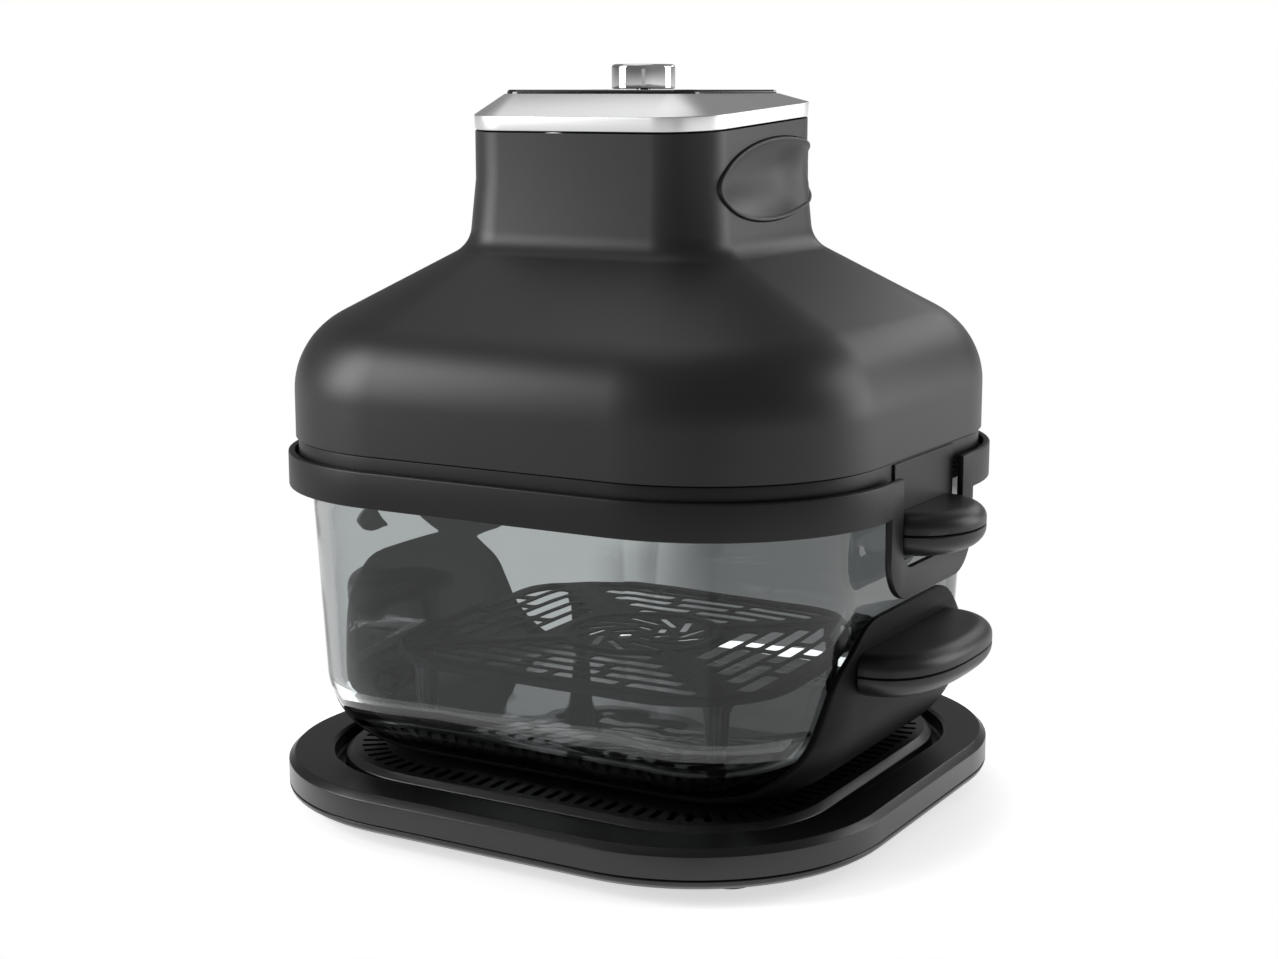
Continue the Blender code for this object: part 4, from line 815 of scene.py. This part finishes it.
def makeCrisper():
    high = span("crisper_plate")[1]
    s = crisperSizes
    plan = (high.x, high.y, s["bend"])
    top = high.z - s["armHigh"] * 0.25
    hem = top - s["lip"] + 0.0003
    outline = roundCorners([(0.010, top, 0), (0.0, top, 0.0022), (0.0, hem, 0.0003),
                            (s["sheet"], hem, 0.0003),
                            (s["sheet"], top - s["sheet"], 0.0008), (0.010, top - s["sheet"], 0)])
    plate = toObject("crisperPlate", skin([planRing(plan, i, z) for i, z in outline], True, True),
                     "crisperCoat")
    cutter = grow("crisperCutter", slotTree, crisperSlotPlaces(high.x, high.y, top - 0.0008),
                  "crisperCoat", Length=s["cell"], Width=s["slot"], Depth=0.006,
                  Corner=s["slot"] * 0.28)
    cut(plate, cutter)
    settle(plate, "crisperCoat")
    # raised ring and arms pressed up out of the sheet
    bm = bmesh.new()
    bm.from_mesh(plate.data)
    crown = [(s["ringHalf"] * math.cos(a), s["armHigh"] * math.sin(a))
             for a in [math.pi * k / 6 for k in range(7)]]
    crown += [(-s["ringHalf"], -0.0008), (s["ringHalf"], -0.0008)]
    loops = [circle(s["ring"] + u, top + v, 72) for u, v in crown]
    rings = [list(ring) for ring in zip(*loops)]
    skin(rings, closed=True, bm=bm)
    for signX, signY in ((1, 1), (1, -1), (-1, 1), (-1, -1)):
        along = Vector((signX * high.x, signY * high.y, 0)).normalized()
        across = Vector((-along.y, along.x, 0))
        reachOut = (Vector((high.x, high.y, 0))).length - s["bend"] * 0.55
        rings = []
        for share in [k / 12 for k in range(13)]:
            run = s["ring"] + (reachOut - s["ring"]) * share
            fade = min(1.0, (1 - share) / 0.12 + 0.05)
            rings.append([along * run + across * u * 1.5 * (0.7 + 0.3 * fade) +
                          Vector((0, 0, top + max(v, -0.0008) * (fade if v > 0 else 1)))
                          for u, v in crown])
        skin(rings, True, True, bm=bm)
    bmesh.ops.recalc_face_normals(bm, faces=bm.faces)
    bm.to_mesh(plate.data)
    bm.free()
    done(smooth(plate, 35), "crisper", "nonstick", "crisper_plate")


def makeCrisperFeet():
    # ribbed clips under the plate's corners
    names = [f"{c}_crisper_foot" for c in ("back_right", "front_right", "back_left", "front_left")]
    bm = bmesh.new()
    for name in names:
        low, high = span(name)
        centre = (low + high) / 2
        radius = (high.x - low.x) / 2
        outline = roundCorners([(radius * 0.55, high.z, 0), (radius, high.z, 0.001),
                                (radius, high.z - 0.006, 0.001),
                                (radius * 0.80, high.z - 0.009, 0.001),
                                (radius * 0.62, low.z + 0.002, 0.002),
                                (radius * 0.45, low.z, 0.001), (radius * 0.2, low.z, 0)])
        rings = []
        for r, z in outline:
            ring = []
            for k in range(96):
                a = 2 * math.pi * k / 96
                rib = 1.0 if (k // 4) % 2 else 0.93
                ring.append(Vector((centre.x + r * rib * math.cos(a),
                                    centre.y + r * rib * math.sin(a), z)))
            rings.append(ring)
        skin(rings, True, True, bm=bm)
    feet = toObject("crisperFeet", bm, "clipGrey")
    done(smooth(feet, 30), "crisper", "silicone", *names)


makeCrisper()
makeCrisperFeet()
print("crisper plate is made")


# ---- collar
collarSizes = {"bend": 0.087, "wall": 0.0030, "flangeIn": 0.0215, "bracketHalf": 0.0460,
               "notchHalf": 0.0334, "notchLift": 0.0135, "bandHeight": 0.0160}


def makeCollar():
    low, high = span("collar_ring")
    s = collarSizes
    plan = (high.x, high.y, s["bend"])
    bandLow = high.z - s["bandHeight"]
    sealHigh = span("rim_seal")[1].z + 0.0003
    outline = roundCorners([(0.0, bandLow, 0.0005), (0.0, high.z, 0.0008),
                            (s["wall"], high.z, 0.0005), (s["wall"], sealHigh + 0.0022, 0.0003),
                            (s["flangeIn"], sealHigh + 0.0022, 0.0005),
                            (s["flangeIn"], sealHigh, 0.0005), (s["wall"], sealHigh, 0.0003),
                            (s["wall"], bandLow, 0.0005)], 3, True)
    band = toObject("collarRing", skin([planRing(plan, i, z) for i, z in outline], closed=True),
                    "mattBlack")
    half, root = s["bracketHalf"], bandLow + 0.004
    for side in (1, -1):
        arms = roundCorners([(-half, root, 0), (-half, low.z, 0.020), (half, low.z, 0.020),
                             (half, root, 0)], 10)
        notch = roundCorners([(-s["notchHalf"], high.z + 0.01, 0),
                              (-s["notchHalf"], low.z + s["notchLift"], 0.010),
                              (s["notchHalf"], low.z + s["notchLift"], 0.010),
                              (s["notchHalf"], high.z + 0.01, 0)], 8)
        plate = toObject("plate", prism(arms, side * (high.x - s["wall"]), side * high.x, 0.0))
        hole = toObject("hole", prism(notch, side * (high.x - 0.0078),
                                      side * (high.x + 0.01), 0.0))
        cut(band, plate, "UNION")
        cut(band, hole)
    settle(band, "mattBlack")
    ease(band, 0.0004, 2, 50)
    done(smooth(band, 35), "collar", "soft_black", "collar_ring")


def makeSeal():
    low, high = span("rim_seal")
    width = 0.0082
    bend = bowlSizes["bend"] + 0.0012
    plan = (high.x, high.y, bend)
    outline = roundCorners([(0.0, low.z, 0.0004), (0.0, high.z, 0.0004), (width, high.z, 0.0004),
                            (width, low.z, 0.0004)], 3, True)
    seal = toObject("rimSeal", skin([planRing(plan, i, z) for i, z in outline], closed=True),
                    "sealRubber")
    done(smooth(seal, 35), "collar", "silicone", "rim_seal")


makeCollar()
makeSeal()
print("collar is made")


# ---- head
headSizes = {"skirtBend": 0.083, "neck": (0.063, 0.061, 0.0245), "shoulder": 0.0446,
             "slopeRise": 0.0416, "neckHeight": 0.0540, "flare": 0.0030, "flareShare": 0.55,
             "shoulderBend": 0.0400, "neckBend": 0.0140, "lean": math.tan(math.radians(3.25)),
             "wall": 0.0025}
gripSizes = {"centreY": 0.0085, "halfLong": 0.0520, "halfHigh": 0.0183, "drop": 0.0244,
             "proud": 0.0014, "dish": 0.0052, "fadeStart": 0.018, "fadeEnd": 0.049}
housingLow, housingHigh = span("head_housing")
skirt = (housingHigh.x, housingHigh.y, headSizes["skirtBend"])
neckRun = skirt[0] - headSizes["neck"][0]
shoulderZ = housingLow.z + headSizes["shoulder"]
neckBase = shoulderZ + headSizes["slopeRise"]
neckTop = neckBase + headSizes["neckHeight"]


def housingRing(inset, height, lean=0.0, steps=24):
    share = inset / neckRun
    plan = [a + (b - a) * share for a, b in zip(skirt, headSizes["neck"])]
    return planRing(plan, 0.0, height, lean, steps)


def neckPoint(side, y, z, out):
    s = headSizes
    flareTop = neckBase + s["neckHeight"] * s["flareShare"]
    share = s["flare"] * max(flareTop - z, 0.0) / (s["neckHeight"] * s["flareShare"]) / neckRun
    width, depth, bend = [a + (b - a) * share for a, b in zip(s["neck"], skirt)]
    past = max(abs(y) - (depth - bend), 0.0)
    turn = math.asin(min(past / bend, 1.0))
    x = width - bend * (1 - math.cos(turn)) + out * math.cos(turn)
    return Vector((side * x, y + math.copysign(out * math.sin(turn), y), z))


def gripOval(inset, scale=1.0, count=96):
    g = gripSizes
    ring = []
    for k in range(count):
        turn = 2 * math.pi * k / count
        angle = turn - 0.35 * math.sin(turn)
        y = g["centreY"] + scale * (g["halfLong"] - inset) * math.cos(angle)
        z = (neckTop - g["drop"] + scale * (g["halfHigh"] - inset) * math.sin(angle)
             + headSizes["lean"] * y)
        ring.append((y, z))
    return ring


def makeHousing():
    s = headSizes
    outline = roundCorners([(0.0, housingLow.z, 0), (0.0, shoulderZ, s["shoulderBend"]),
                            (neckRun - s["flare"], neckBase, s["neckBend"]),
                            (neckRun, neckBase + s["neckHeight"] * s["flareShare"], 0),
                            (neckRun, neckTop, 0)], 16)
    rings = [housingRing(0.0003, housingLow.z), housingRing(0.0, housingLow.z + 0.0002)]
    rings += [housingRing(i, z) for i, z in outline[1:-1]]
    rings.append(housingRing(neckRun, neckTop - 0.002, s["lean"]))
    rings.append(housingRing(neckRun, neckTop, s["lean"]))
    shell = toObject("headHousing", skin(rings), "housingSatin")
    wall = shell.modifiers.new("wall", "SOLIDIFY")
    wall.thickness = s["wall"]
    wall.offset = -1.0
    wall.use_even_offset = True
    settle(shell)
    for side in (1, -1):
        hole = [Vector(point) for point in gripOval(-0.00045)]
        cut(shell, toObject("gripHole", prism(hole, side * 0.030, side * 0.080, 0.0)))
    vents = [((0.0, s["neck"][1], neckTop - 0.014 - row * 0.0070),
              (math.radians(90), 0, 0), plain) for row in range(5)]
    cut(shell, grow("ventCutter", slotTree, vents, "housingSatin", Length=0.052, Width=0.0028,
                    Depth=0.014, Corner=0.0013))
    glandLow, glandHigh = span("cord_gland")
    middle = (glandLow + glandHigh) / 2
    around = [p.xy for p in circle(0.0073, 0.0, 40, (middle.x, middle.z))]
    tube = prism(around, 0.02, -0.02, 0.0)
    bmesh.ops.rotate(tube, verts=tube.verts, matrix=Matrix.Rotation(math.radians(90), 3, "Z"))
    bmesh.ops.translate(tube, verts=tube.verts, vec=(0, skirt[1], 0))
    cut(shell, toObject("glandHole", tube))
    settle(shell, "housingSatin")
    done(smooth(shell, 40), "head", "satin_black", "head_housing")


def gripRing(side, inset, scale, out, sunk):
    # the hollow runs out towards the back corner
    g = gripSizes
    ring = []
    for y, z in gripOval(inset, scale):
        share = min(max((y - g["fadeStart"]) / (g["fadeEnd"] - g["fadeStart"]), 0.0), 1.0)
        depth = 1 - share * share * (3 - 2 * share)
        ring.append(neckPoint(side, y, z, out - sunk * depth))
    return ring


def makeGrip(side, word):
    g = gripSizes
    rings = []
    for scale in (0.06, 0.14, 0.27, 0.42, 0.56, 0.68, 0.78, 0.86, 0.92, 0.96, 0.985):
        sunk = (g["dish"] + 0.0005) * (1 - scale ** 2.4)
        rings.append(gripRing(side, 0.0019, scale, 0.0005, sunk))
    for inset, out in ((0.0019, 0.0005), (0.0015, 0.0012), (0.0010, g["proud"]),
                       (0.0005, 0.00135), (0.0001, 0.0010), (0.0, 0.0004), (0.0, -0.0036)):
        rings.append(gripRing(side, inset, 1.0, out, 0.0))
    for scale, out, sunk in ((0.93, -0.0040, 0.0012), (0.6, -0.0036, g["dish"] - 0.0018),
                             (0.06, -0.0036, g["dish"] - 0.0018)):
        rings.append(gripRing(side, 0.0019, scale, out, sunk))
    grip = toObject(f"{word}FingerGrip", skin(rings, True, True), "dishGrey")
    done(smooth(grip, 50), "head", "grip_grey", f"{word}_finger_grip")


def makeTrim():
    top = span("trim_cap")[1].z
    s = headSizes
    plan = s["neck"]
    bottom = neckTop + 0.0008
    band = bottom + 0.0063
    outline = roundCorners([(0.0, bottom, 0.0003), (-0.0004, band, 0.0005), (0.0140, top, 0.0004),
                            (0.0140, top - 0.003, 0.0003), (0.0030, band - 0.0020, 0.0005),
                            (0.0018, bottom, 0.0003)], 4, True)
    rings = []
    for inset, z in outline:
        share = min(max((z - band) / (top - band), 0.0), 1.0)
        rings.append(planRing(plan, inset, z, s["lean"] * (1 - share), 24))
    trim = toObject("trimCap", skin(rings, closed=True), "trimSilver")
    done(smooth(trim, 30), "head", "satin_silver", "trim_cap")


def makePanel():
    low, high = span("top_panel")
    plan = (high.x, high.y, 0.0108)
    outline = roundCorners([(0.006, high.z, 0), (0.0008, high.z, 0.0006),
                            (0.0, high.z - 0.0010, 0.0006), (0.0, low.z, 0),
                            (0.0020, low.z, 0), (0.0020, high.z - 0.0025, 0.0004),
                            (0.006, high.z - 0.0025, 0)], 4)
    panel = toObject("topPanel", skin([planRing(plan, i, z) for i, z in outline], True, True),
                     "panelGloss")
    rod = skin([circle(0.0038, z, 40) for z in (low.z - 0.01, high.z + 0.01)], True, True)
    cut(panel, toObject("rod", rod))
    settle(panel, "panelGloss")
    done(smooth(panel, 35), "head", "gloss_black", "top_panel")
    ticks = []
    for k in range(13):
        angle = math.radians(-90 + 30) - math.radians(300) * k / 12
        big = k % 3 == 0
        reach = 0.0225 if big else 0.0220
        ticks.append(((reach * math.cos(angle), reach * math.sin(angle), high.z),
                      (0, 0, angle), (1.0 if big else 0.6, 1.0, 1.0)))
    marks = grow("dialMarks", slotTree, ticks, "tickGrey", Length=0.0042, Width=0.0008,
                 Depth=0.0001, Corner=0.0003)
    done(marks, "head", "satin_silver")


def makeHeadRing():
    low, high = span("head_ring")
    edge, wall, shelf = 0.0012, 0.0025, 0.0165
    ringLow = high.z - 0.0106
    outline = roundCorners([(edge, ringLow, 0.0004), (edge, high.z, 0.0006),
                            (edge + wall, high.z, 0.0004), (edge + wall, ringLow + wall, 0.0004),
                            (edge + shelf, ringLow + wall, 0.0004),
                            (edge + shelf, ringLow, 0.0004)], 3, True)
    ring = toObject("headRing", skin([planRing(skirt, i, z) for i, z in outline], closed=True),
                    "mattBlack")
    half = collarSizes["notchHalf"] - 0.0006
    bm = bmesh.new()
    bm.from_mesh(ring.data)
    for side in (1, -1):
        tab = roundCorners([(-half, high.z - 0.0008, 0), (-half, low.z, 0.010),
                            (half, low.z, 0.010), (half, high.z - 0.0008, 0)], 8)
        piece = prism(tab, side * (high.x - 0.0030), side * high.x, 0.0004)
        copy = bpy.data.meshes.new("tab")
        piece.to_mesh(copy)
        piece.free()
        bm.from_mesh(copy)
        bpy.data.meshes.remove(copy)
    bmesh.ops.recalc_face_normals(bm, faces=bm.faces)
    bm.to_mesh(ring.data)
    bm.free()
    done(smooth(ring, 35), "head", "soft_black", "head_ring")


def makeKnob():
    low, high = span("control_knob")
    radius = high.x
    outline = roundCorners([(0.0, high.z, 0), (radius, high.z, 0.0016),
                            (radius, low.z + 0.0004, 0.0003),
                            (radius - 0.0008, low.z, 0.0003), (0.0036, low.z, 0),
                            (0.0036, high.z - 0.0030, 0), (0.0, high.z - 0.0030, 0)], 6)
    rings = [circle(r, z, 128) for r, z in outline if r > 0]
    knob = toObject("controlKnob", skin(rings, True, True), "knobChrome")
    turn = math.radians(30)
    place = [(((radius - 0.0004) * math.sin(turn), (0.0004 - radius) * math.cos(turn),
               (low.z + high.z) / 2), (math.radians(90), 0, turn), plain)]
    slot = grow("pointerCutter", slotTree, place, "knobChrome", Length=0.0014, Width=0.0062,
                Depth=0.0020, Corner=0.0005)
    cut(knob, slot)
    settle(knob, "knobChrome")
    done(smooth(knob, 30), "knob", "chrome", "control_knob")


def makeGland():
    low, high = span("cord_gland")
    middle = (low + high) / 2
    outline = [(0.0036, high.y), (0.0050, high.y)]
    for k in range(6):
        y = high.y - 0.0004 - k * 0.0011
        ridge = 0.0051 + k * 0.00030
        outline += [(ridge, y), (ridge, y - 0.0006), (ridge - 0.0007, y - 0.0007),
                    (ridge - 0.0007, y - 0.0010)]
    flange = (high.x - low.x) / 2
    outline += [(flange - 0.001, high.y - 0.0070), (flange, high.y - 0.0078),
                (flange, high.y - 0.0084), (0.0070, high.y - 0.0084), (0.0070, low.y),
                (0.0036, low.y)]
    rings = [[Vector((p.x, y, p.y)) for p in circle(r, 0.0, 48, (middle.x, middle.z))]
             for r, y in outline]
    gland = toObject("cordGland", skin(rings, closed=True), "footRubber")
    done(smooth(gland, 30), "head", "silicone", "cord_gland")


def makeGuard():
    low, high = span("fan_guard")
    plan = (high.x, high.y, 0.062)
    outline = [(0.006, high.z), (0.0, high.z), (0.0, low.z), (0.006, low.z)]
    guard = toObject("fanGuard", skin([planRing(plan, i, z) for i, z in outline], True, True),
                     "sheetSteel")
    places = []
    for radius, count in ((0.014, 4), (0.026, 8), (0.039, 13), (0.052, 18), (0.065, 23),
                          (0.078, 28), (0.091, 33)):
        for k in range(count):
            a = 2 * math.pi * (k + 0.25 * (count % 3)) / count
            places.append(((radius * math.cos(a), radius * math.sin(a), low.z),
                           (0, 0, a + 1.2), plain))
    cut(guard, grow("guardCutter", slotTree, places, "sheetSteel", Length=0.0110, Width=0.0042,
                    Depth=0.006, Corner=0.0020))
    settle(guard, "sheetSteel")
    done(smooth(guard, 30), "head", "sheet_steel", "fan_guard")


makeHousing()
makeGrip(1, "right")
makeGrip(-1, "left")
makeTrim()
makePanel()
makeHeadRing()
makeKnob()
makeGland()
makeGuard()
print("head is made")


# ---- what is carried over from the frame
carried = {
    "heat_reflector": "sheetSteel", "heating_element": "elementSteel",
    "motor_bracket": "sheetSteel", "fan_motor": "sheetSteel",
    "thermal_cutout": "handleBlack", "control_board": "boardGreen",
    "rotary_switch": "panelGloss", "knob_shaft": "sheetSteel", "fan_shaft": "sheetSteel",
    "hot_air_fan": "sheetSteel", "cooling_fan": "handleBlack", "fan_nut": "sheetSteel",
}
for nodeName, look in carried.items():
    data = nodes[nodeName].data
    data.materials.clear()
    data.materials.append(finishes[look])
print("inner pieces are painted")
